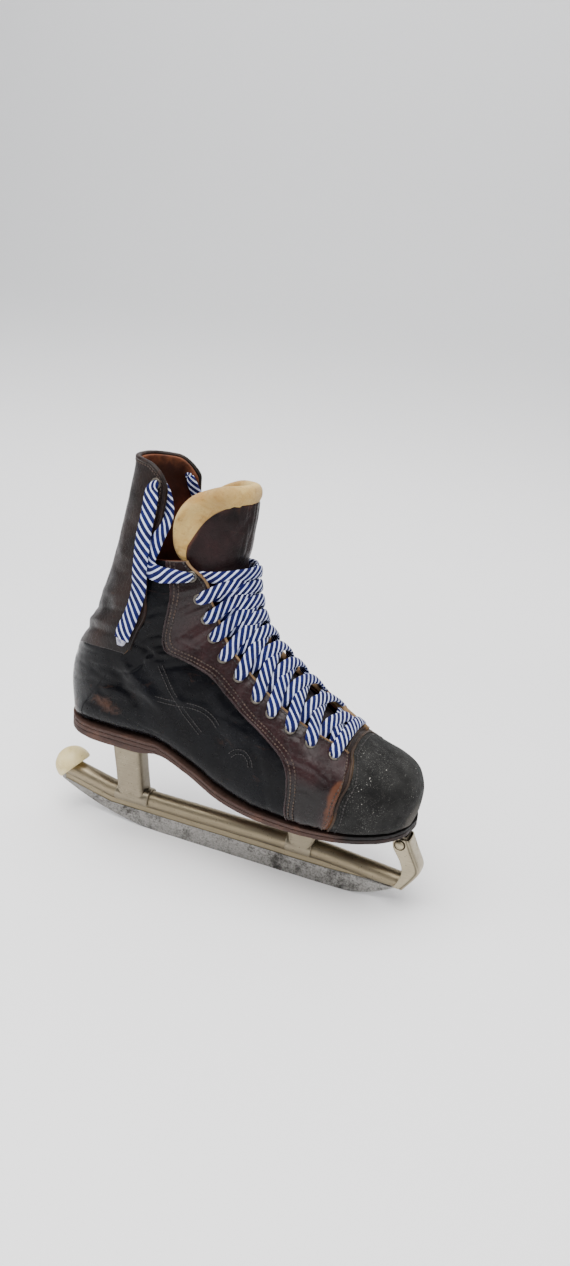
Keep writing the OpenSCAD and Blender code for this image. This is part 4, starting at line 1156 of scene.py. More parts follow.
@dataclass(frozen=True)
class Studio:
    """Camera at the photograph's angle, pale floor and soft light.

    Attributes:
        azimuth: Camera's turn round the skate, in degrees.
        elevation: Its height angle.
        roll: Its tilt round the line of sight.
        distance: From the target, in metres.
        target: Point looked at, in metres.
        lens: Focal length for a 36 mm long side.
    """
    azimuth: float = 19.4
    elevation: float = 19.0
    roll: float = 6.48
    distance: float = .700
    target: Spot = (.021, .027, .174)
    lens: float = 36 * 967 / 1266

    def camera(self) -> None:
        """Sets the camera up from its angles: right, up and back are its axes."""
        az, el, roll = np.radians([self.azimuth, self.elevation, self.roll])
        back = np.array([np.sin(az) * np.cos(el), -np.cos(az) * np.cos(el), np.sin(el)])
        right = unit(np.cross(-back, [0, 0, 1.0]))
        up = np.cross(right, -back)
        right, up = np.cos(roll) * right + np.sin(roll) * up, np.cos(roll) * up - np.sin(roll) * right
        data = bpy.data.cameras.new("camera")
        data.sensor_fit, data.sensor_width, data.lens = "AUTO", 36, self.lens
        data.clip_start, data.clip_end = .01, 100
        eye = bpy.data.objects.new("camera", data)
        turn = Matrix(np.stack([right, up, back], 1).tolist()).to_4x4()
        turn.translation = (np.array(self.target) + back * self.distance).tolist()
        eye.matrix_world = turn
        bpy.context.scene.collection.objects.link(eye)
        bpy.context.scene.camera = eye

    def lamp(self, name: str, spot: Spot, size: float, power: float, tint: Spot) -> None:
        """Hangs a soft square lamp that faces the skate.

        Args:
            name: Name of the lamp.
            spot: Its place in metres.
            size: Its side in metres.
            power: Its power in watts.
            tint: Its colour.
        """
        data = bpy.data.lights.new(name, "AREA")
        data.shape, data.size, data.energy, data.color = "SQUARE", size, power, tint
        lamp = bpy.data.objects.new(name, data)
        back = unit(np.array(spot) - np.array([0, 0, .14]))
        right = unit(np.cross([0.02, .999, .02], back))
        turn = Matrix(np.stack([right, np.cross(back, right), back], 1).tolist()).to_4x4()
        turn.translation = spot
        lamp.matrix_world = turn
        bpy.context.scene.collection.objects.link(lamp)

    def light(self) -> None:
        """Large soft lamps above and beside the skate, and a pale even sky."""
        self.lamp("top_lamp", (-.1, -.35, 1.7), 1.9, 72, (1.0, .985, .965))
        self.lamp("side_lamp", (1.5, -1.1, 1.0), 1.0, 10, (1.0, .97, .94))
        self.lamp("left_lamp", (-1.6, -.8, 1.0), 1.1, 12, (.96, .98, 1.0))
        world = bpy.data.worlds.new("sky")
        world.use_nodes = True
        sky = world.node_tree.nodes["Background"]
        sky.inputs[0].default_value = (.86, .88, .92, 1)
        sky.inputs[1].default_value = .42
        bpy.context.scene.world = world

    def floor(self, finish: Material) -> None:
        """Lays a sheet of paper that turns up behind the skate on a quarter circle and stands up from there.

        Args:
            finish: The paper.
        """
        x, t = np.meshgrid(np.linspace(-3500, 3500, 24), np.linspace(0, 1, 90), indexing="ij")
        run = -2500 + t * 7000
        level, bend = 500, 600
        turn = np.clip((run - level) / bend, 0, np.pi / 2)
        y = np.where(run < level, run, level + bend * np.sin(turn))
        z = bend * (1 - np.cos(turn)) + np.maximum(0, run - level - bend * np.pi / 2)
        points = spread(x, y, z)
        sheet = new_piece("floor_paper", points, grid_faces(*x.shape)[:, ::-1], [finish])


# Lacing


@dataclass(frozen=True)
class Lacing:
    """Flat striped lace: crossed strands, the runs to the guard and the free ends, with its eyelets.

    Attributes:
        fin: The skate's finishes.
        width: Width of the lace lying flat.
        cross: Its width where it is drawn tight over the tongue.
        thick: Its thickness.
        over: Depth of a strand on a facing.
        under: Depth of a strand below a facing.
        low: Depth of the lower strand at a crossing.
        lift: How far the upper strand lies above it.
        press: How much narrower the lace is where it is measured, on the guard.
        bend_start: Where a run leaves the skate's motion, in metres; not used.
        bend_end: Where it has the guard's motion; not used.
    """
    fin: Finishes
    width: float = 12.0
    cross: float = 8.6
    thick: float = 2.9
    over: float = -2.4
    under: float = 5.4
    low: float = .4
    lift: float = 2.4
    press: float = .6
    bend_start: Spot = (-.0999, 0, .218)
    bend_end: Spot = (-.0999, 0, .240)

    def band(self, name: str, route: Array, across: Across, finish: Material) -> tuple[Piece, Array]:
        """Sweeps a squared oval along a route over the boot, its wide way across the route.

        Args:
            name: Name of the piece.
            route: Rows of u, f, depth, width and 1 where depth runs along a hole.
            across: What the wide way follows.
            finish: Its material.

        Returns:
            The piece and its middle line.
        """
        u, f, depth, wide, hole = route.T
        by_u, by_f, out = FORM.axes(u, f)
        spots = np.where(hole[:, None] > 0, FORM.point(u, f) - out * depth[:, None], FORM.point(u, f, depth))
        path, at = space_curve(spots, 1.1)
        rows = np.arange(len(route))
        go = unit(np.gradient(path, axis=0))
        out = unit(read_rows(at, rows, out))
        side = {Across.U: read_rows(at, rows, by_u), Across.F: read_rows(at, rows, by_f),
                Across.SURFACE: np.cross(go, out)}[across]
        side = unit(side - (side * go).sum(1, keepdims=True) * go)
        up = np.cross(go, side)
        half = np.clip(curve(at, rows, wide, tight=True), 2.5, 20) / 2
        run = along(path)
        a = np.linspace(0, 2 * np.pi, 25)
        x = squared(np.cos(a), .7)
        y = np.sin(a)
        bulk = self.thick / 2 * np.clip(self.cross / (2 * half), .8, 1.45)
        sway = .35 * rough(path, 14, 31, 2)
        rings = (path[:, None] + side[:, None] * (half[:, None] * x)[..., None]
                 + up[:, None] * ((bulk[:, None] * y) + sway[:, None] * x)[..., None]
                 - out[:, None] * (.035 * half[:, None] ** 1.5 * x ** 2 * .35)[..., None])
        girth = along(spread(x * self.width, y * self.thick))
        uv = spread(2 * self.width * girth / girth[-1], run[:, None])
        return tube(name, rings, [finish], uv=uv, wrap=False), path

    def crossing(self, k: int, left: bool) -> list[list[float]]:
        """Route of a strand from one eyelet over the tongue to the next one on the other side.

        Args:
            k: Number of the first eyelet.
            left: Starts on the left side.

        Returns:
            Rows as band takes them.
        """
        holes = eyelet_places()
        (a, fa), (b, fb) = holes[k], holes[k + 1]

        def u(t: float) -> float:
            """Place between the two eyelets."""
            return a + (b - a) * t

        def s(f: float, other: bool = False) -> float:
            """Place round the boot on the strand's own side, or on the other one."""
            return 2 - f if left != other else f

        near, far = float(line(u(.12), THROAT)), float(line(u(.86), THROAT))
        low, w = self.low - (self.lift if left else 0), self.cross
        return [[a, s(fa), 4.2, 4.5, 1], [a, s(fa), -.6, 6.6, 1],
                [u(.0), s(fa + .22 * (near - fa)), self.over, 8.6, 0],
                [u(.03), s(fa + .68 * (near - fa)), self.over - .6, 9.2, 0],
                [u(.10), s(near + .01), self.over + .1, w, 0],
                [u(.30), s((near + 1) / 2), (self.over + low) / 2, w, 0], [u(.50), 1.0, low, w, 0],
                [u(.68), s((far + 1) / 2 + .01, True), low + .4, w, 0],
                [u(.80), s(far + .045, True), 2.2, w - .4, 0], [u(.88), s(far + .005, True), 4.4, w - 1.5, 0],
                [u(.95), s(far - .025, True), self.under, 6.5, 0], [b, s(fb, True), self.under, 4.5, 1]]

    def strand(self, start_left: bool) -> Array:
        """Route of a laced strand from the bottom eyelet to the top one; the right one has the bottom bar.

        Args:
            start_left: Starts on the left side.

        Returns:
            Rows as band takes them.
        """
        holes = eyelet_places()
        (u0, f0), (ut, ft) = holes[0], holes[-1]
        rows: list[list[float]] = []
        if not start_left:
            w = self.cross
            bar = [[u0, f0, 4.2, 4.5, 1], [u0, f0, -.6, 6.6, 1], [u0 - .02, f0 + .02, self.over, 8.6, 0],
                   [u0 - .05, f0 + .06, self.over - .2, w, 0], [u0 - .08, 1.0, self.over, w, 0],
                   [u0 - .05, 2 - f0 - .06, self.over - .2, w, 0], [u0 - .02, 2 - f0 - .02, self.over, 8.6, 0],
                   [u0, 2 - f0, -.6, 6.6, 1], [u0, 2 - f0, 4.2, 4.5, 1]]
            rows = bar[::-1]
        for k in range(len(holes) - 1):
            part = self.crossing(k, start_left == (k % 2 == 0))
            if k == 0:
                s = 2 - part[0][1] if start_left else part[0][1]
                inner = [[u0 + .06, s + .015, self.under - .2, 5, 0], [u0 + .14, s + .05, self.under - 1.2, 8, 0]]
                for row in inner:
                    row[1] = 2 - row[1] if start_left else row[1]
                part = inner + part[5:]
            rows += part
        side = start_left == (len(holes) % 2 == 1)
        f = 2 - ft if side else ft
        rows += [[ut, f, 3.8, 4.5, 1], [ut, f, -.8, 5, 1]]
        return np.array(rows, float)

    def run_route(self) -> Array:
        """Route of the right run: out of the top eyelet, round the guard's edge, up inside to its hole.

        Returns:
            Rows as band takes them.
        """
        ut, ft = eyelet_places()[-1]
        w = self.width - self.press
        return np.array([[ut, ft, .2, 4.5, 0], [19.22, ft - .012, -1.9, 7, 0], [19.4, .56, -2.6, 9.5, 0],
                         [19.6, .5, -2.8, w, 0], [19.9, .468, -3, w, 0], [20.3, .456, -3, w, 0],
                         [20.8, .464, -2.8, w, 0], [21.3, .481, -2.2, 9.0, 0], [21.65, .489, .8, 7.5, 0],
                         [22.0, .483, 4.6, 7.5, 0], [22.45, .457, 7.0, 8, 0], [22.9, .425, 7.2, 7, 0],
                         [*GUARD_HOLE, 6.2, 4.5, 0]], float)

    def end_route(self) -> Array:
        """Route of the right free end: out of the guard's hole and down the outside."""
        w = self.width
        return np.array([[*GUARD_HOLE, 4.6, 4.5, 1], [*GUARD_HOLE, -1.2, 5.5, 1], [22.98, .4148, -2.8, 8, 0],
                         [22.6, .416, -3.1, w, 0], [22, .42, -3.6, w, 0], [21.4, .424, -5.2, w, 0],
                         [20.5, .432, -5.7, w, 0], [19.6, .44, -5.3, w, 0], [19, .447, -4, w, 0],
                         [18, .456, -3.3, w, 0], [17, .466, -3.1, w, 0], [16.2, .472, -3.1, w, 0],
                         [15.9, .475, -3.1, w - .5, 0]], float)

    def tip_route(self) -> Array:
        """Route of the pressed tip below the right free end."""
        return np.array([[15.9, .475, -3.1, 9.5, 0], [15.8, .4755, -3.1, 8, 0], [15.7, .4765, -3.1, 6.5, 0],
                         [15.6, .477, -3.1, 5, 0]], float)

    def flipped(self, route: Array) -> Array:
        """The same route on the left side."""
        return route * np.array([1, -1, 1, 1, 1])

    def cords(self) -> None:
        """Makes the runs and the free ends, which are cords, with the tips."""
        for side in Side:
            name = side.value
            turn = self.flipped if side is Side.LEFT else np.array
            run, path = self.band(f"lace_run_{name}_cotton", turn(self.run_route()), Across.SURFACE, self.fin.lace)
            entitle(run, "lace_cotton", f"lace_run_{name}")
            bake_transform(run)
            end, path = self.band(f"lace_end_{name}_cotton", turn(self.end_route()), Across.F, self.fin.lace)
            dress(end, "lace_cotton", f"lace_end_{name}", body=Body.GUARD)
            tip, _ = self.band(f"lace_tip_{name}", turn(self.tip_route()), Across.F, self.fin.lace_tip)
            dress(tip, "lace_tip", body=Body.GUARD)
            if side is Side.RIGHT:
                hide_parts("lace_tips")

    def strands(self) -> None:
        """Makes the two laced strands."""
        for side in Side:
            name = side.value
            piece, _ = self.band(f"lace_strand_{name}", self.strand(side is Side.LEFT), Across.U, self.fin.lace)
            dress(piece, "lace_cotton", f"lace_{name}")

    def eyelets(self) -> None:
        """Makes the eyelets: a rolled flange on a barrel, set square to the leather."""
        profile = ((2.25, -3.4), (2.2, .4), (2.45, .8), (2.95, 1.0), (3.5, .95), (3.85, .65), (3.9, .35),
                   (2.75, .3), (2.7, -3.4))
        rings = revolved(profile, 22)
        ring = np.concatenate([rings, rings[:1]])
        faces = grid_faces(len(profile) + 1, 22, wrap=True)

        def row(name: str, places: Array, node: str, body: Body) -> None:
            """One piece with a copy of the eyelet at each place.

            Args:
                name: Name of the piece.
                places: Places (u, f).
                node: CAD node that it stands for.
                body: Body that it rides on.
            """
            by_u, _, out = FORM.axes(places[:, 0], places[:, 1])
            spots = FORM.raised(places[:, 0], places[:, 1], .35)
            side = unit(np.cross(out, by_u))
            points, quads = copies(ring.reshape(-1, 3), faces, spots, np.stack([np.cross(side, out), side, out], 1))
            dress(new_piece(name, points, quads, [self.fin.eyelet], weld=True), "eyelet_metal", node, body=body)

        right = eyelet_places()
        row("eyelet_rings_right", right, "eyelets_right", Body.SKATE)
        row("eyelet_rings_left", on_side(right, Side.LEFT), "eyelets_left", Body.SKATE)
        hole = np.array([GUARD_HOLE, (GUARD_HOLE[0], -GUARD_HOLE[1])])
        row("guard_eyelet_rings", hole, "guard_eyelets", Body.GUARD)


def oval_rings(path: Array, out: Array, wide: float, high: float, wave: Array, sides: int) -> Array:
    """Rings of an oval carried along a path, square to it.

    Args:
        path: Points of the path.
        out: Outward direction at each.
        wide: Half width across the path.
        high: Half height outwards.
        wave: Factor on both, one for each point.
        sides: Points in a ring.

    Returns:
        Path by sides by three.
    """
    side = unit(np.cross(unit(np.gradient(path, axis=0)), out))
    a = turns(sides)
    wave = wave[:, None]
    return (path[:, None] + side[:, None] * (wide * wave * np.cos(a))[..., None]
            + out[:, None] * (high * wave * np.sin(a))[..., None])


def bead(name: str, places: Array, rise: float, wide: float, high: float, finish: Material, slot: str) -> None:
    """Narrow rounded strip along a line: an oval swept over the leather.

    Args:
        name: Name of the piece.
        places: Places (u, f) of the line.
        rise: Height of the oval's middle over the skin.
        wide: Half width along the skin.
        high: Half height off the skin.
        finish: Its material.
        slot: Finish slot.
    """
    path, out = FORM.path(places, rise, 1.5)
    rings = oval_rings(path, out, wide, high, 1 + .14 * rough(path, 4, 19, 2), 10)
    piece = tube(name, rings, [finish], values={"wear": np.clip(.05 + .35 * rough(rings, 9, 23, 2), 0, .5)})
    dress(piece, slot)


# Upper


@dataclass(frozen=True)
class Upper:
    """Leather panels of the boot below the tendon guard, with their seams.

    Attributes:
        fin: The skate's finishes.
        wall: Thickness of the leather.
        lap: How far a panel that lies over another stands off the skin.
        lining_depth: Depth of the lining under the skin.
        lining: Its thickness.
        steps: Places round the upper at which a panel's edges are given.
    """
    fin: Finishes
    wall: float = 1.6
    lap: float = .75
    lining_depth: float = 2.3
    lining: float = 1.5
    steps: int = 161

    def panel(self, name: str, uf: Array, rise: float, finishes: Sequence[Material], slot: str,
              node: str, marks: Sequence[Mark] = (), worn: Knots = (), uneven: float = .35,
              darkening: Optional[Array] = None) -> None:
        """One leather panel: the skin, lifted by rise, folds, creases along noise zeros and slow unevenness.

        Args:
            name: Name of the piece.
            uf: Grid of places.
            rise: How far it stands off the skin.
            finishes: Its leather, and the raw edge's if there is one.
            slot: Finish slot.
            node: CAD node that it stands for.
            marks: Folds and ridges on it.
            worn: Worn places as u, f, radius and strength.
            uneven: Strength of the unevenness.
            darkening: How much each point is darkened towards near black.
        """
        u, f = uf[..., 0], uf[..., 1]
        skin = FORM.point(u, f)
        lift = rise + uneven * (.8 * rough(skin, 26, 3, 2) + .3 * rough(skin, 8, 9, 2))
        slant = skin @ np.array([[.45, 0, .25], [0, .6, 0], [-.45, 0, 1.4]])
        ridge = np.abs(rough(slant, 17, 51, 2))
        where = fade(rough(skin, 34, 57, 2), -.25, .55) * (.35 + fade(u, 11.5, 14) + .6 * fade(-u, -8, -6.5))
        lift = lift - 1.5 * uneven * where * np.exp(-(ridge / .12) ** 2)
        wear = np.zeros(u.shape)
        for mark in marks:
            swell = mark.swell(skin)
            lift = lift + mark.height * swell
            wear = wear + mark.value * swell
        for wu, wf, radius, strength in worn:
            gap = np.linalg.norm(skin - FORM.point(np.array(wu), np.array(wf)), axis=-1)
            wear = wear + strength * np.exp(-(gap / radius) ** 2)
        piece = new_piece(name, FORM.raised(u, f, lift), grid_faces(*u.shape), finishes,
                          values={"wear": wear, "darkening": np.zeros(u.shape) if darkening is None else darkening},
                          weld=True, turn=False)
        thicken(piece, self.wall, 1 if len(finishes) > 1 else 0)
        dress(piece, slot, node)

    def cap_edge(self, f: Array) -> Array:
        """Place along u of the toe cap's rear edge, the same on both sides."""
        return line(np.where(f > 1, 2 - f, f), ((0, 5.5), (.12, 5.5), (.265, 5.45), (.557, 5.15), (.665, 4.98),
                                              (.81, 5.12), (.863, 5.28), (1, 5.36)))

    def round_grid(self, rows: int, low: Array, high: Array, m: int) -> Array:
        """Rows round the upper from the sole on one side to the sole on the other, between two lines.

        Args:
            rows: Number of rows.
            low: Places u of the front line.
            high: Places u of the rear line.
            m: Points in each row.

        Returns:
            Grid of places.
        """
        t = np.linspace(0, 1, self.steps)
        u = low + np.linspace(0, 1, rows)[:, None] * (high - low)
        start = line(u, SOLE_LINE)
        f = start + (2 - 2 * start) * t
        return FORM.even(spread(u, f), m)

    def toe(self) -> None:
        """Toe cap, the stiffener under it, and the vamp strip behind it."""
        f = np.linspace(.02, 1.98, self.steps)
        edge = self.cap_edge(f)
        grid = self.round_grid(44, np.full(self.steps, .04), edge, 78)
        dents = (Mark(((1.2, .72), (1.6, 1.0), (1.3, 1.3)), 5, -.5),
                 Mark(((3.2, .5), (3.6, .72), (3.4, .95)), 4, -.5),
                 Mark(((2.0, .45), (2.4, .3), (2.2, .16)), 3.5, -.4),
                 Mark(((4.6, .28), (4.4, .48), (4.5, .62)), 3, -.35))
        tip = ((.4, .5, 16, .35), (1.4, .2, 12, .5), (1.2, .12, 9, .5), (1.4, 1.8, 12, .5))
        self.panel("toe_cap_leather", grid, self.lap * .8, [self.fin.toe, self.fin.raw], "toe_leather", "toe_cap",
                   dents, tip, .4)
        inner = self.round_grid(24, np.full(self.steps, .1), np.full(self.steps, 5.62), 40)
        self.sheet("toe_box_board", inner, self.fin.board, "board_leather", "toe_box")
        strip = self.round_grid(10, edge - .25, np.full(self.steps, 5.95), 78)
        creases = tuple(Mark(p, 1.6, h, .25) for p, h in (
            (((5.5, .60), (5.62, .70), (5.6, .80)), -.6), (((5.6, .55), (5.75, .66), (5.74, .76)), .5)))
        worn = ((5.62, .28, 13, 1.0), (5.6, .42, 9, .7), (5.55, .15, 8, .8), (5.6, 1.72, 12, .8))
        self.panel("vamp_leather", strip, -.1, [self.fin.vamp], "brown_leather", "vamp", creases, worn)

    def sheet(self, name: str, uf: Array, finish: Material, slot: str, node: str) -> None:
        """A plain inner layer: the skin drawn in by the lining's depth, slightly uneven.

        Args:
            name: Name of the piece.
            uf: Grid of places.
            finish: Its leather.
            slot: Finish slot.
            node: CAD node that it stands for.
        """
        points = FORM.point(uf[..., 0], uf[..., 1], self.lining_depth)
        points = points + .12 * (FORM.axes(uf[..., 0], uf[..., 1])[2] * rough(points, 12, 5, 2)[..., None])
        piece = new_piece(name, points, grid_faces(*uf.shape[:2]), [finish],
                          values={"wear": np.zeros(uf.shape[:2])})
        thicken(piece, self.lining)
        dress(piece, slot, node)

    def facings(self) -> None:
        """Brown facings with the vamp wings, on both sides."""
        creases = [Mark(*row) for row in FACING_CREASES]
        worn = ((5.3, .63, 6, .5), (13.0, .64, 7, .2), (7.1, .12, 6, .4))
        holes = eyelet_places()
        middle = (holes[1:] + holes[:-1]) / 2
        creases += [Mark(((u, f), (u, f + .004), (u, f + .008)), 4.2, -.55, .0) for u, f in holes]
        creases += [Mark(((u - .12, f - .065), (u - .04, f - .03), (u + .02, f + .02)), 1.7, 1.0, .06)
                    for u, f in middle[1:]]
        creases += [Mark(((u - .30, f - .075), (u - .16, f - .05), (u - .06, f - .02)), 1.3, -.95, .0)
                    for u, f in holes[2:]]
        for side in Side:
            name = side.value
            flip = side is Side.LEFT
            grid = FORM.patch(FACING_RAILS, 150, 30)
            u, f = grid[..., 0], grid[..., 1]
            # Darker on the vamp wing's lower part and towards the collar.
            darker_patch = (1 - fade(f, .52, .63)) * (1 - fade(u, 7.2, 7.7)) * fade(u, 5.6, 6.0)
            darker_patch = darker_patch + .6 * fade(u, 13.5, 16.5)
            marks = [mark.mirror() for mark in creases] if flip else creases
            bare = [(u, 2 - f, r, s) for u, f, r, s in worn] if flip else worn
            if flip:
                grid, darker_patch = other_side(grid), darker_patch[:, ::-1]
            self.panel(f"facing_{name}_leather", grid, self.lap, [self.fin.brown, self.fin.raw], "brown_leather",
                       f"facing_{name}", marks, bare, darkening=darker_patch)

    def sides(self) -> None:
        """Black quarters, and the counter round the heel that closes them."""
        lines = [Mark(places, 2.6, .5) for places in ARCS]
        right = [Mark(*row) for row in SIDE_FOLDS + HEEL_SCUFFS] + lines
        for side in Side:
            name = side.value
            grid = FORM.patch(QUARTER_RAILS, 170, 60)
            marks = right
            if side is Side.LEFT:
                grid, marks = other_side(grid), [mark.mirror() for mark in right]
            self.panel(f"quarter_{name}_leather", grid, 0.0, [self.fin.black], "black_leather", f"quarter_{name}",
                       marks, (), .5)
        f = np.linspace(-.485, .485, 80)
        foot = line(np.abs(f), ((0, 13.95), (.12, 12.56), (.485, 14.95)))
        top = line(np.abs(f) / .475, GUARD_FOOT) + .35
        heel = np.swapaxes(FORM.patch([((a, c), (b, c)) for a, b, c in zip(foot, top, f)], 96, 44), 0, 1)
        back = [Mark(*row) for row in SIDE_FOLDS[:3] + HEEL_SCUFFS]
        back += [Mark(np.asarray(m.places) * (1, -1), m.width, m.height, m.value) for m in back]
        back += [Mark(((16.4, -.3), (16.35, 0), (16.3, .2), (15.8, .36)), 2.0, .7),
                 Mark(((16.0, -.3), (15.95, 0), (15.9, .2), (15.4, .38)), 2.4, -.6),
                 Mark(((15.2, .2), (15.0, .32), (14.8, .42)), 2.2, -.5)]
        worn = ((13.8, .05, 8, .4), (14.3, .1, 7, .25), (13.6, .18, 10, .5))
        self.panel("counter_leather", heel, .2, [self.fin.black], "black_leather", "heel_counter", back, worn, .28)

    def linings(self) -> None:
        """Leather lining of the two sides and the stiffener round the heel."""
        low = ((5.65, .12), (12.5, .12), (14.85, .45), (15.1, .48), (16.6, .50), (18.5, .46), (20.3, .44))
        u = np.linspace(5.68, COLLAR_U, 90)
        rails = [((a, float(line(a, low))), (a, float(line(a, THROAT)) - .004)) for a in u]
        grid = FORM.patch(rails, 90, 30)
        self.sheet("lining_right_leather", grid, self.fin.lining, "lining_leather", "lining_right")
        self.sheet("lining_left_leather", other_side(grid), self.fin.lining, "lining_leather", "lining_left")
        f = np.linspace(-.47, .47, 60)
        foot = line(np.abs(f), ((0, 13.95), (.12, 12.6), (.48, 14.9)))
        top = line(np.abs(f) / .475, GUARD_FOOT)
        rows = [((a, c), (b, c)) for a, b, c in zip(foot, top, f)]
        heel = np.swapaxes(FORM.patch(rows, 60, 24), 0, 1)
        self.sheet("counter_board", heel, self.fin.board, "board_leather", "counter_stiffener")

    def seams(self) -> None:
        """Stitch rows along the seams, on both sides."""
        rails = np.array(FACING_RAILS)
        inner, throat = rails[:, 0], rails[:, 1]
        bold, fine = Stitching(2.5, 1.95, .5), Stitching(2.1, 1.6, .30)
        rows: list[tuple[str, Array, float, Stitching, Material]] = []
        f = np.linspace(.13, 1.87, 60)
        edge = self.cap_edge(f)
        bead("cap_edge_strip", spread(edge + .03, f), self.lap * .8 - .3, .9, 1.1, self.fin.bound,
             "toe_leather")
        rows.append(("cap_stitch", spread(edge - .2, f), self.lap * .8 + .15, bold, self.fin.thread))
        rows.append(("vamp_stitch", spread(edge + .26, f)[4:-4], self.lap + .1, bold, self.fin.pale_thread))
        for side in Side:
            name = side.value
            bead(f"facing_welt_{name}", on_side(inner, side), self.lap - .1, .8, .75, self.fin.brown,
                 "brown_leather")
            shape = (.5, 1.1, 2.6) if side is Side.LEFT else (-.4, .95, 1.5)
            bead(f"throat_edge_{name}", on_side(throat[5:], side), *shape, self.fin.raw, "brown_leather")
            for i, shift in enumerate((2.4, 5.4)):
                places = on_side(shifted(inner[1:], throat[1:], shift), side)
                rows.append((f"facing_stitch_{name}_{i}", places, self.lap + .15, bold, self.fin.pale_thread))
            places = on_side(shifted(throat[6:], inner[6:], 3.0), side)
            rows.append((f"throat_stitch_{name}", places, self.lap + .1, bold, self.fin.thread))
            for i, places in enumerate(ARCS):
                rows.append((f"arc_stitch_{name}_{i}", on_side(places, side), .5, fine, self.fin.thread))
        for name, places, rise, kind, thread in rows:
            path, out = FORM.path(places, rise, .8)
            if name.startswith("arc"):
                beside = path + unit(np.cross(np.gradient(path, axis=0), out)) * 3.2
                dress(kind.row(f"{name}_inner", beside, out, thread), "black_leather")
            dress(kind.row(name, path, out, thread), "black_leather" if name.startswith("arc") else "brown_leather")


def shifted(edge: Array, other: Array, gap: float) -> Array:
    """Places moved from one edge of a panel towards the other by a gap in millimetres."""
    span = np.linalg.norm(FORM.point(edge[:, 0], edge[:, 1]) - FORM.point(other[:, 0], other[:, 1]), axis=1)
    return edge + (other - edge) * np.clip(gap / span, 0, .9)[:, None]


@dataclass(frozen=True)
class Stitching:
    """Rows of short stitches, each a rounded rod half sunk in the leather.

    Attributes:
        pitch: Distance from stitch to stitch.
        length: Length of a stitch.
        radius: Radius of the thread.
    """
    pitch: float = 2.5
    length: float = 1.9
    radius: float = .4

    def row(self, name: str, path: Array, out: Array, finish: Material) -> Piece:
        """Sets one stitch at each pitch along a path.

        Args:
            name: Name of the piece.
            path: Points of the seam.
            out: Outward direction at each.
            finish: The thread.

        Returns:
            The piece.
        """
        run = along(path)
        at = np.arange(self.pitch, run[-1] - self.pitch / 2, self.pitch)
        spots, ups = read_rows(at, run, path), read_rows(at, run, out)
        go = unit(read_rows(at, run, np.gradient(path, axis=0)))
        side = unit(np.cross(ups, go))
        place = np.array([-1, -.82, -.45, .45, .82, 1]) * self.length / 2
        girth = np.array([.05, .62, 1, 1, .62, .05]) * self.radius
        a = turns(6)
        rod = spread(place[:, None], girth[:, None] * np.cos(a), girth[:, None] * np.sin(a))
        points, quads = copies(rod.reshape(-1, 3), grid_faces(6, 6, wrap=True), spots,
                               np.stack([go, side, np.cross(go, side)], 1))
        return new_piece(name, points, quads[:, ::-1], [finish])


# Guard and tongue


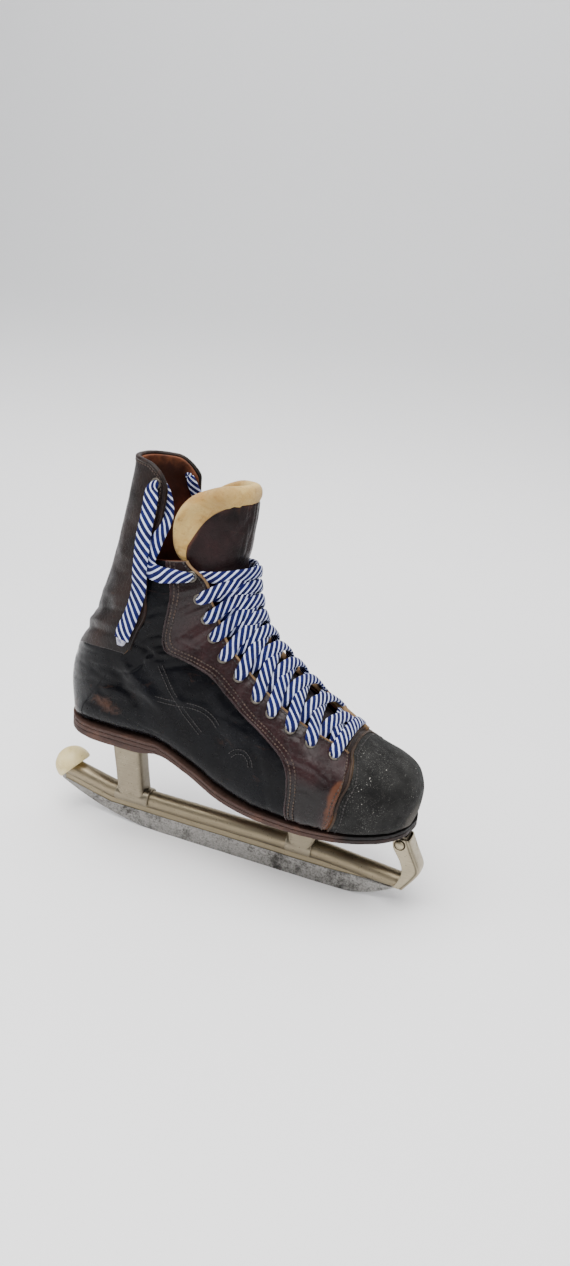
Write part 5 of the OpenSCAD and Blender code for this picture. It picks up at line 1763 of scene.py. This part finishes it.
@dataclass(frozen=True)
class Guard:
    """Brown ankle panel and tendon guard in one, with its liner, bound edges and stitching.

    Attributes:
        fin: The skate's finishes.
        wall: Thickness of the leather.
        lap: How far it stands off the skin over the black sides.
        liner_depth: Depth of the liner under the skin.
        bend_start: Where the leather leaves the skate's motion, in metres; not used.
        bend_end: Where it has the guard's motion; not used.
    """
    fin: Finishes
    wall: float = 1.6
    lap: float = .8
    liner_depth: float = 2.3
    bend_start: Spot = (-.0999, 0.0, .212)
    bend_end: Spot = (-.0999, 0.0, .232)

    def places(self, t: Array, a: Array, inset: float = 0.0) -> Array:
        """Places of the guard, between its foot and its rim.

        Args:
            t: Share of the way from the foot to the rim.
            a: From its left front edge, -1, to its right one, 1.
            inset: How far its upper end stays under the rim.

        Returns:
            Places (u, f).
        """
        t, a = np.broadcast_arrays(t, a)
        foot, rim = line(np.abs(a), GUARD_FOOT), line(np.abs(a), GUARD_RIM)
        u = foot + t * (rim - inset - foot)
        return spread(u, a * line(u, GUARD_LINE))

    def bind(self, piece: Piece, slot: str, *nodes: str) -> None:
        """Hides the CAD nodes that a piece stands for, logs it and bakes its placement into its mesh."""
        entitle(piece, slot, *nodes)
        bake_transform(piece)

    def shell(self) -> None:
        """Outer leather, the skin with folds, creases at the notch and a soft hollow darkened with painted shade,
        and its liner.
        """
        t, a = np.meshgrid(np.linspace(0, 1, 92), np.linspace(-1, 1, 62), indexing="ij")
        uf = self.places(t, a)
        skin = FORM.point(uf[..., 0], uf[..., 1])
        lift = self.lap + .5 * rough(skin, 24, 11, 2) + .15 * rough(skin, 7, 4, 2)
        wear = .25 * np.exp(-((1 - t) / .03) ** 2) + .3 * np.exp(-((1 - np.abs(a)) / .04) ** 2)
        gap = np.linalg.norm(skin - FORM.point(np.array(17.9), np.array(.29)), axis=-1)
        # Painted shade: the soft hollow is darkened as if shade lay in it.
        hollow = np.exp(-(gap / 6) ** 4)
        for mark in (Mark(*row) for row in GUARD_FOLDS):
            swell = mark.swell(skin)
            lift = lift + mark.height * swell
            wear = wear + mark.value * swell
        lift = lift - .8 * hollow
        piece = new_piece("guard_shell_leather", FORM.raised(uf[..., 0], uf[..., 1], lift), grid_faces(*t.shape),
                          [self.fin.guard, self.fin.raw], values={"wear": wear, "darkening": hollow})
        thicken(piece, self.wall, 1)
        self.bind(piece, "guard_leather", "lower_guard", "tendon_guard")
        t, a = np.meshgrid(np.linspace(0, 1, 60), np.linspace(-1, 1, 40), indexing="ij")
        uf = self.places(t, a, .06)
        points = FORM.point(uf[..., 0], uf[..., 1], self.liner_depth - .5)
        liner = new_piece("guard_liner_leather", points, grid_faces(*t.shape), [self.fin.lining],
                          values={"wear": .5 * t ** 6})
        thicken(liner, 1.8)
        self.bind(liner, "lining_leather", "lower_guard_pad", "guard_lining")

    def edge(self) -> None:
        """Bound edge: a flattened roll along the front edges and the rim, and stitch rows inside it."""
        t = np.linspace(.02, 1, 90)
        right, left = self.places(t, np.array(1.0)), self.places(t, np.array(-1.0))
        rim = self.places(np.array(1.0), np.linspace(1, -1, 60))
        outline = np.concatenate([right, rim[1:-1], left[::-1]])
        points = FORM.point(outline[:, 0], outline[:, 1], .3)
        path, at = space_curve(points[::2], 1.6)
        out = FORM.axes(outline[::2, 0], outline[::2, 1])[2]
        out = unit(read_rows(at, np.arange(len(out)), out))
        rings = oval_rings(path, out, 1.5, 2.0, 1 + .08 * rough(path, 5, 17, 2), 12)
        roll = tube("guard_binding", rings, [self.fin.guard], values={"wear": np.full(rings.shape[:2], .28)})
        soften(roll)
        self.bind(roll, "guard_leather")
        stitch = Stitching(2.6, 2.0, .42)
        for i, (low, high, share) in enumerate(((.06, .985, .955), (.06, .97, .915))):
            t = np.linspace(low, high, 70)
            right, left = self.places(t, np.array(share)), self.places(t, np.array(-share))
            rim = self.places(np.array(high), np.linspace(share, -share, 50))
            places = np.concatenate([right, rim[1:-1], left[::-1]])
            path = FORM.raised(places[:, 0], places[:, 1], self.lap + .25)
            out = FORM.axes(places[:, 0], places[:, 1])[2]
            self.bind(stitch.row(f"guard_stitch_{i}", path, out, self.fin.pale_thread), "guard_leather")


@dataclass(frozen=True)
class Tongue:
    """Tongue: a leather face on thick felt that shows as a rolled rim round it.

    Attributes:
        fin: The skate's finishes.
        toe_u: Place of its lower end.
        depth: How deep it lies under the facings.
        leather: Thickness of the face.
        felt: Thickness of the felt.
        rim: Width of the felt's rounded edge.
        fold_start: Where it leaves the skate's motion, in metres; not used.
        fold_end: Where it has its top's motion; not used.
        last_u: Place up to which the skin's outward direction is read.
    """
    fin: Finishes
    toe_u: float = 5.9
    depth: float = 7.0
    leather: float = 1.5
    felt: float = 6.6
    rim: float = 5.0
    fold_start: Spot = (.0002, 0.0, .2325)
    fold_end: Spot = (.0002, 0.0, .2445)
    last_u: float = 23.6

    def places(self, t: Array, a: Array, margin: Knots, drop: Array | float) -> Array:
        """Places of the tongue, between its toe end and its top.

        Args:
            t: Share of the way from the toe end to the top.
            a: From its right edge, -1, to its left one, 1.
            margin: How far its sides stay inside the felt's, by u.
            drop: How far its top stays below the felt's.

        Returns:
            Places (u, f).
        """
        t, a = np.broadcast_arrays(t, a)
        edge = ((5.9, .78), (8, .71), (12, .68), (16, .66), (18.5, .62), (19.8, .58), (20.5, .525), (21.3, .499),
                (24, .495))
        top = line(np.abs(a) * .5, ((0, 24), (.26, 23.66), (.36, 23.3), (.42, 22.95), (.47, 22.4),
                                    (.5, 21.7))) - drop
        u = self.toe_u + t * (top - self.toe_u)
        return spread(u, 1 + a * (1 - line(u, edge) - line(u, margin)))

    def sink(self, u: Array) -> Array:
        """Depth of the tongue's face: under the facings, then standing forward above the collar."""
        return line(u, ((5.9, self.depth), (19.4, self.depth), (20.8, 3.6), (22, 1), (24, -2)))

    def bind(self, piece: Piece, slot: str, *nodes: str) -> None:
        """Hides the CAD nodes that a piece stands for, logs it and bakes its placement into its mesh."""
        entitle(piece, slot, *nodes)
        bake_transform(piece)

    def face(self) -> None:
        """Leather face with long cracks and folds along it."""
        t, a = np.meshgrid(np.linspace(0, 1, 122), np.linspace(-1, 1, 84), indexing="ij")
        uf = self.places(t, a, ((5.9, .01), (18.0, .01), (20.3, .05), (21.4, .095), (22.3, .11), (24, .11)),
                         1.0 - .25 * np.abs(a))
        u, f = uf[..., 0], uf[..., 1]
        points = FORM.point(u, f, self.sink(u))
        out = FORM.axes(np.minimum(u, self.last_u), f)[2]
        along_it = points * np.array([.25, 1.6, .25])
        crack = np.exp(-(rough(along_it, 6, 23, 2) / .30) ** 2) * fade(u, 19.6, 21.0)
        crack = crack * (1 - fade(np.abs(a), .55, .9))
        lift = .6 * rough(points, 22, 21, 2) - .9 * crack
        piece = new_piece("tongue_face_leather", points + out * lift[..., None], grid_faces(*t.shape),
                          [self.fin.tongue, self.fin.raw],
                          values={"wear": .35 * fade(np.abs(a), .86, 1) + .3 * fade(t, .95, 1) + .12 * crack})
        thicken(piece, self.leather, 1)
        self.bind(piece, "tongue_leather", "tongue_cover", "tongue_top_cover")

    def pad(self) -> None:
        """Felt: two faces that meet in a rounded edge; its thickness falls off as a quarter circle there."""
        t, a = np.meshgrid(np.linspace(0, 1, 130), np.linspace(-1, 1, 60), indexing="ij")
        uf = self.places(t, a, ((5.9, .01), (19, .01), (20.6, 0), (24, 0)), 0.0)
        u, f = uf[..., 0], uf[..., 1]
        middle = FORM.point(u, f, self.sink(u) + self.leather + .3 + self.felt / 2)
        out = FORM.axes(np.minimum(u, self.last_u), f)[2]
        run_t = np.linalg.norm(np.gradient(middle, axis=0), axis=-1)
        run_a = np.linalg.norm(np.gradient(middle, axis=1), axis=-1)
        up, down = np.cumsum(run_t[::-1], 0)[::-1] - run_t, np.cumsum(run_t, 0) - run_t
        right, left = np.cumsum(run_a, 1) - run_a, np.cumsum(run_a[:, ::-1], 1)[:, ::-1] - run_a
        gap = np.minimum(np.minimum(right, left), np.minimum(up, down))
        gap[0], gap[-1], gap[:, 0], gap[:, -1] = 0, 0, 0, 0
        swell = np.sqrt(np.maximum(0, 1 - (1 - np.clip(gap / self.rim, 0, 1)) ** 2))
        high = fade(u, 19.6, 21.2)
        roll = high * np.exp(-((gap - 8.0) / 6.0) ** 2) * 3.0
        fuzz = .32 * rough(middle, 3.0, 41, 3) + .9 * rough(middle, 13, 43, 2) * high
        front = middle + out * ((self.felt / 2 + roll + fuzz) * swell)[..., None]
        back = middle - out * ((self.felt / 2 + fuzz) * swell)[..., None]
        stain = np.clip(.5 * rough(middle, 18, 47, 3) + .25, 0, 1) * high
        n, m = t.shape
        points = np.concatenate([front.reshape(-1, 3), back.reshape(-1, 3)])
        faces = np.concatenate([grid_faces(n, m), grid_faces(n, m)[:, ::-1] + n * m])
        piece = new_piece("tongue_felt_pad", points, faces, [self.fin.felt],
                          values={"wear": np.concatenate([stain.ravel(), stain.ravel()])}, weld=True)
        soften(piece)
        self.bind(piece, "felt", "tongue_felt", "tongue_top_felt")


# Sole


@dataclass(frozen=True)
class Sole:
    """Stacked leather sole: insole, midsole, outsole and the heel lift.

    Attributes:
        fin: The skate's finishes.
        lip: How far its edge stands out past the upper.
        toe_u: Place from which the sole springs up to the toe.
        toe_spring: Rise towards the toe for each step of u.
        heel_u: Place from which it is level under the heel.
        heel_z: Height of the sole line under the heel.
        heel_rise: How far it turns up at the back of the heel.
    """
    fin: Finishes
    lip: float = 1.0
    toe_u: float = 2.2
    toe_spring: float = .8
    heel_u: float = 10.99
    heel_z: float = 90.5
    heel_rise: float = 3.2

    def low(self, u: Array) -> Array:
        """Height of the sole line: the cage's lower points, springing up at the toe and at the heel's back.

        Args:
            u: Place along the boot.

        Returns:
            The height at each place.
        """
        spring = FORM.rows(np.array(self.toe_u))[1] + (self.toe_u - u) * self.toe_spring
        body = np.minimum(self.heel_z, FORM.rows(u)[..., 1])
        heel = self.heel_z + self.heel_rise * fade(u, 12.5, 14.0)
        return np.where(u < self.toe_u, spring, np.where(u > self.heel_u, heel, body))

    def half(self, u: Array) -> Array:
        """Place round the boot where the sole's edge is measured, closing in at the heel."""
        return line(u, ((0, .26), (12, .26), (13, .22), (13.5, .15), (13.9, .05)))

    def layer(self, name: str, u: Array, low: float, high: float, finish: Material, slot: str, node: str,
              inset: float = 0.0, seed: int = 1, taper: bool = False) -> None:
        """One layer: a flat ring with rounded edges carried along the sole.

        Args:
            name: Name of the piece.
            u: Rows, from the toe to the heel.
            low: Height of its lower face over the sole line.
            high: Height of its upper face.
            finish: Its leather.
            slot: Finish slot.
            node: CAD node that it stands for.
            inset: How far its edge lies back.
            seed: Picks its unevenness.
            taper: Lets its front end run out thin.
        """
        f = self.half(u)
        out = self.lip * (.25 + .75 * fade(u, 4.2, 6.4)) - inset
        right, left = FORM.point(u, f, -out), FORM.point(u, 2 - f, -out)
        right[:, 0] = left[:, 0] = FORM.point(u, f, -out - inset)[:, 0]
        z = self.low(u)
        a = turns(40) + np.pi / 40
        x = squared(np.cos(a), .10)
        y = squared(np.sin(a), .10)
        mid, wide = (right + left) / 2, (left - right)[:, 1] / 2
        full = (high - low) * (fade(u, u[0] - .1, u[0] + .85) * (1 - .3 * fade(u, 12.5, 14.0)) if taper
                               else np.ones(len(u)))
        rings = spread(mid[:, :1], mid[:, 1:2] + wide[:, None] * x, z[:, None] + high - full[:, None] * (1 - y) / 2)
        bend = .35 * rough(rings, 22, 3, 2) + .22 * rough(rings, 5, seed + 7, 3)
        rings[..., 1] += np.sign(x) * bend * np.abs(x) ** 6
        # Darker towards the toe, the outsole a little less.
        black = np.broadcast_to(((.75 if low < -5 else 1) * (1 - fade(u, 4.7, 5.5)))[:, None], rings.shape[:2])
        dress(tube(name, rings, [finish], values={"darkening": black}), slot, node)

    def build(self) -> None:
        """Makes all layers."""
        u = np.concatenate([np.linspace(.3, 3, 34), np.linspace(3.1, 11, 90), np.linspace(11.08, 13.9, 50)])
        heel = np.linspace(10.72, 13.9, 56)
        self.layer("midsole_leather", u, -2.4, 0.1, self.fin.sole, "sole_leather", "midsole", 0, 3)
        self.layer("outsole_leather", u, -5.7, -2.55, self.fin.sole, "sole_leather", "outsole", -.15, 5)
        self.layer("heel_lift_leather", heel, -10.8, -5.75, self.fin.lift, "sole_leather", "heel_lift", .1, 8, True)
        inner = np.linspace(2.8, 13.0, 90)
        right, left = FORM.point(inner, .09, 1.6), FORM.point(inner, 1.91, 1.6)
        a = np.linspace(-1, 1, 26)
        mid, wide = (right + left) / 2, (left - right)[:, 1] / 2
        across = mid[:, 1:2] + wide[:, None] * a
        top = self.low(inner)[:, None] + 2.2 + 1.4 * np.abs(a) ** 4 - .3
        x = FORM.point(inner, self.half(inner), -1)[:, :1]
        points = spread(x, across, top)
        points[..., 2] += .3 * rough(points, 20, 5, 2) - .5
        board = new_piece("insole_board", points, grid_faces(90, 26), [self.fin.board],
                          values={"wear": np.zeros((90, 26))})
        thicken(board, 1.8)
        dress(board, "board_leather", "insole")


# Blade


@dataclass(frozen=True)
class Blade:
    """Runner, tube, posts, brace and heel tip.

    Attributes:
        fin: The skate's finishes.
        tube_r: Radius of the tube's round top.
        tube_z: Height of its axis.
        skirt_half: Half width of its lower part.
        skirt_z: Height of its lower edge.
        runner_t: Thickness of the runner.
        post_half: Half width of the posts and the brace.
        rear_x: Rear end of the runner.
        front_x: Its front end.
        bend_x: Where the tube starts to rise to the heel.
        drop_x: Where it starts to drop to the nose.
    """
    fin: Finishes
    tube_r: float = 6.8
    tube_z: float = 25.5
    skirt_half: float = 4.4
    skirt_z: float = 15.5
    runner_t: float = 4.0
    post_half: float = 8.35
    rear_x: float = -142.5
    front_x: float = 140.5
    bend_x: float = -96
    drop_x: float = 82

    def up(self, x: Array) -> Array:
        """Height of the tube's axis over its level stretch: rising to the heel, dropping to the nose."""
        rise, drop = np.tan(np.radians([12, 5]))
        return np.where(x < self.bend_x, (self.bend_x - x) * rise, np.minimum(0, (self.drop_x - x) * drop))

    def low(self, x: Array) -> Array:
        """Height of the runner's edge: flat middle, arcs at the heel and before the nose."""
        over, rear, nose = np.maximum(0, x - 60), np.maximum(0, -x - 50), np.maximum(0, x - self.front_x + 45)
        return over ** 2 / 3000 + rear ** 2 / 384 + nose ** 2 / 122

    def skirt(self, x: Array) -> Array:
        """Height of the tube's lower edge."""
        return self.skirt_z + np.where(x > self.drop_x, 3 * (x - self.drop_x) / 59, self.up(x))

    def runner(self) -> None:
        """Runner: a plate whose section is a tall bar with eased edges and a hollow-ground foot."""
        x = np.linspace(self.rear_x, self.front_x, 260)
        low, high = self.low(x), np.maximum(19 + self.up(x), self.low(x) + 2)
        half = self.runner_t / 2
        y = np.array([-.55, -.97, -1, -1, -1, -.9, .9, 1, 1, 1, .97, .55, 0]) * half
        share = np.array([.012, 0, .03, .3, .7, 1, 1, .7, .3, .03, 0, .012, .022])
        rings = spread(x[:, None], y, low[:, None] + (high - low)[:, None] * share)
        rings[..., 1] += .06 * rough(rings, 9, 61, 3) * (np.abs(y) > 1)
        stain = .3 * (1 - fade(rings[..., 0], -128, -70))
        dress(tube("runner_steel_bar", rings, [self.fin.runner], values={"darkening": stain}), "runner_steel", "runner")

    def tube(self) -> None:
        """Tube: a round top over a narrower skirt that runs out at the nose, with small dents."""
        x = np.linspace(-138, 141, 300)
        z = self.tube_z + self.up(x)
        open_at = np.pi - np.arcsin(self.skirt_half / self.tube_r)
        a = np.linspace(-open_at, open_at, 44)
        ring_y, ring_z = self.tube_r * np.sin(a), self.tube_r * np.cos(a)
        foot = self.skirt(x)
        down = np.linspace(1, 0, 7)[:-1]
        base = z - self.tube_r * np.cos(np.pi - open_at)
        skirt_z = base[:, None] + (foot - base)[:, None] * down
        flare = self.skirt_half + .35 * np.exp(-((down - 1) / .12) ** 2)
        parts_y = [np.broadcast_to(-flare, skirt_z.shape), np.broadcast_to(ring_y, (300, 44)),
                   np.broadcast_to(flare[::-1], skirt_z.shape)]
        parts_z = [skirt_z, z[:, None] + ring_z, skirt_z[:, ::-1]]
        inner = [np.broadcast_to(np.array([2.1, -2.1]), (300, 2)), foot[:, None] + np.zeros((300, 2))]
        y = np.concatenate([*parts_y, inner[0]], 1)
        h = np.maximum(np.concatenate([*parts_z, inner[1]], 1), foot[:, None])
        rings = spread(x[:, None], y, h)
        mid = spread(x, 0.0, z)
        out = unit(rings - mid[:, None])
        dent = .10 * rough(rings, 26, 71, 2) - .4 * np.maximum(0, rough(rings, 22, 73, 1) - .55)
        rings = rings + out * dent[..., None]
        # Painted shade: dark lines, a little uneven, along the ledges under the round top and at the skirt's foot.
        place = np.arange(rings.shape[1])
        fold = sum(np.exp(-((place - k) / w) ** 2) for k, w in ((0, 1.0), (6.5, .9), (49.5, .9), (55, 1.0)))
        darkening = np.clip(fold * (.75 + .35 * rough(rings, 14, 77, 2)), 0, 1)
        dress(tube("tube_shell", rings[:, ::-1], [self.fin.tube], values={"darkening": darkening[:, ::-1]}), "tube_plating",
              "runner_tube")

    def tip(self) -> None:
        """Heel tip: a ball turned round a slanting axis, cut off square and hollow behind its rim."""
        angle = np.radians(np.linspace(0, 96, 30))
        profile = [(14.2 * np.sin(v), 14.2 * np.cos(v)) for v in angle]
        profile += [(13.7, -2.3), (12.9, -2.8), (11.8, -2.6), (10.8, -1.8), (8.0, -1.2), (0.0, -1.0)]
        rings = revolved(profile, 56)
        back = unit(np.array([-1.0, 0, 1.0]))
        side = np.array([0, 1.0, 0])
        center = np.array([-134, 0, self.tube_z + float(self.up(np.array(-134.0))) + 2.5])
        points = center + rings @ np.stack([np.cross(side, back), side, back])
        points = points + unit(points - center) * (.12 * rough(points, 9, 81, 3))[..., None]
        piece = new_piece("heel_tip_plastic", points, grid_faces(len(profile), 56, wrap=True), [self.fin.plastic],
                          weld=True)
        soften(piece)
        dress(piece, "tip_plastic", "heel_tip")

    def post(self, name: str, x: float, low: tuple[float, float], high: tuple[float, float], top: float,
             finish: Material, node: str) -> None:
        """Post: a rounded box that widens to the plate, on a half-round collar over the tube.

        Args:
            name: Name of the piece.
            x: Place along the runner.
            low: Rear and front end of its foot, from x.
            high: Rear and front end of its head.
            top: Height of its head.
            finish: Its plating.
            node: CAD node that it stands for.
        """
        t = np.linspace(0, 1, 40)
        start = 24.5
        share = (start + t * (top - start) - 22) / (top - 22)
        rear, front = (x + low[i] + share * (high[i] - low[i]) for i in (0, 1))
        foot = 2.2 * np.exp(-(t / .10) ** 1.5)
        head = 1.6 * np.exp(-((1 - t) / .05) ** 1.5)
        a = turns(64)
        cx = squared(np.cos(a), .38)
        cy = squared(np.sin(a), .38)
        half_x = (front - rear) / 2 + foot * .6 + head
        half_y = self.post_half - .35 + foot * .12 + head * .8
        z = start + t * (top - start)
        rings = spread(((rear + front) / 2)[:, None] + half_x[:, None] * cx, half_y[:, None] * cy, z[:, None])
        deep = .35 * fade(t, .1, .3) * (1 - fade(t, .8, .95))
        flute = np.exp(-((np.abs(cx) - .80) / .05) ** 2) * (np.abs(cy) > .9) * deep[:, None]
        rings[..., 1] -= np.sign(cy) * flute
        rings[..., 1] += .14 * rough(rings, 12, 91, 3) * np.sign(cy)
        # Painted shade: darker towards the post's front face.
        shade = np.broadcast_to(.55 * fade(cx, .7, .95), rings.shape[:2])
        dress(tube(name, rings, [finish], values={"darkening": shade}), "post_plating", node)
        along_x = np.linspace(x + low[0] - 3.4, x + low[1] + 3.4, 36)
        edge = np.minimum(along_x - along_x[0], along_x[-1] - along_x)
        r = self.post_half + .1 - .7 * np.exp(-(edge / .5) ** 2)
        open_at = np.radians(np.linspace(-118, 118, 40))
        up = self.tube_z + self.up(along_x)
        shell = spread(along_x[:, None], r[:, None] * np.sin(open_at), up[:, None] + r[:, None] * np.cos(open_at))
        collar = new_piece(f"{name}_collar", shell, grid_faces(36, 40)[:, ::-1], [finish])
        thicken(collar, 1.3)
        dress(collar, "post_plating")

    def brace(self) -> None:
        """Toe brace: a channel bent round the nose, its section a U with a flat front; and its rivet."""
        front = np.array([(142.4, 18), (144.8, 21.8), (147.4, 25.8), (149.9, 30), (152, 34.6), (151.2, 38.2),
                          (148.6, 43.2), (145, 50), (141.3, 57.6)], float)
        rear = np.array([(134.6, 18.6), (136.3, 21.4), (137.8, 25.2), (139, 29.5), (138.8, 35), (136.6, 40.5),
                         (133.6, 45), (130.4, 50), (129.2, 57.6)], float)
        t = np.linspace(0, 1, 60)
        knots = np.linspace(0, 1, len(front))
        a, b = curve(t, knots, front), curve(t, knots, rear)
        angle = np.radians(np.linspace(-90, 90, 25))
        nose = np.concatenate([np.zeros(10), np.maximum(np.cos(angle), 0) ** .6, np.zeros(10)])
        wide = np.concatenate([-np.ones(10), np.sin(angle), np.ones(10)])
        reach = np.concatenate([np.linspace(0, 1, 11)[:-1], np.ones(25), np.linspace(1, 0, 11)[1:]])
        depth = np.linalg.norm(a - b, axis=1)
        bow = np.minimum(2.8, depth * .4)
        go = (a - b) / depth[:, None]
        far = (depth - bow)[:, None] * reach + bow[:, None] * nose
        y = self.post_half * squared(wide, .65)
        # The groove near the front edge; the darkening value along it is painted shade.
        seam = np.exp(-((far - (depth - 2.6)[:, None]) / .8) ** 2)
        y = np.broadcast_to(y, far.shape) * (1 - .03 * seam)
        points = spread(b[:, :1] + go[:, :1] * far, y, b[:, 1:] + go[:, 1:] * far)
        points[..., 1] += .12 * rough(points, 10, 95, 2) * np.sign(wide)
        piece = new_piece("toe_brace_channel", points, grid_faces(60, 45), [self.fin.brace],
                          values={"darkening": .9 * seam})
        thicken(piece, 1)
        dress(piece, "post_plating", "toe_brace")
        profile = ((0, -.4), (3.3, -.4), (3.3, .5), (2.9, 1.0), (2.2, 1.4), (1.1, 1.7), (0, 1.8))
        rings = revolved(profile, 28)
        head = rings.reshape(-1, 3)
        turn = np.stack([np.stack([np.array([1.0, 0, 0]), np.array([0, 0, s]), np.array([0, -s, 0])])
                         for s in (1.0, -1.0)])
        spots = np.array([[135, -self.post_half, 53], [135, self.post_half, 53]])
        quads = grid_faces(len(profile), 28, wrap=True)
        points, quads = copies(head, quads, spots, turn)
        dress(new_piece("brace_rivet_heads", points, quads, [self.fin.rivet], weld=True), "rivet_steel",
              "toe_brace_rivet")
        # Dark ring round each rivet head: grime, and painted contact shadow.
        ring = revolved(((3.1, -.6), (4.2, -.6), (4.1, .2), (3.8, .35), (3.1, .3), (3.1, -.6)), 28)
        points, quads = copies(ring.reshape(-1, 3), grid_faces(6, 28, wrap=True), spots, turn)
        dress(new_piece("brace_rivet_grime_and_shadow", points, quads, [self.fin.darker_patch], weld=True), "rivet_steel")

    def build(self) -> None:
        """Makes the blade's pieces and gives the plates and rivets that stay their metal."""
        self.runner()
        self.tube()
        self.tip()
        self.post("heel_post_sheet", -82, (-6.5, 16), (-16.5, 8), 77.6, self.fin.post, "heel_post")
        self.post("sole_post_sheet", 63, (-8.5, 5.5), (-15, 20), 55.3, self.fin.post, "sole_post")
        self.brace()
        for node, finish in (("heel_plate", self.fin.plate), ("sole_plate", self.fin.plate),
                             ("toe_plate", self.fin.plate), ("heel_rivets", self.fin.rivet),
                             ("sole_rivets", self.fin.rivet), ("toe_rivets", self.fin.rivet)):
            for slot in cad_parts[node].material_slots:
                slot.material = finish
            log.info("%s keeps its CAD shape", node)


def main() -> None:
    """Builds the scene, the camera and the cords first."""
    logging.basicConfig(level=logging.INFO, format="%(name)s: %(message)s")
    fin = Finishes()
    studio = Studio()
    studio.camera()
    lacing = Lacing(fin)
    lacing.cords()
    lacing.strands()
    lacing.eyelets()
    upper = Upper(fin)
    upper.toe()
    upper.facings()
    upper.sides()
    upper.linings()
    upper.seams()
    guard = Guard(fin)
    guard.shell()
    guard.edge()
    tongue = Tongue(fin)
    tongue.face()
    tongue.pad()
    Sole(fin).build()
    Blade(fin).build()
    studio.light()
    studio.floor(fin.paper)


if __name__ == "__main__":
    main()
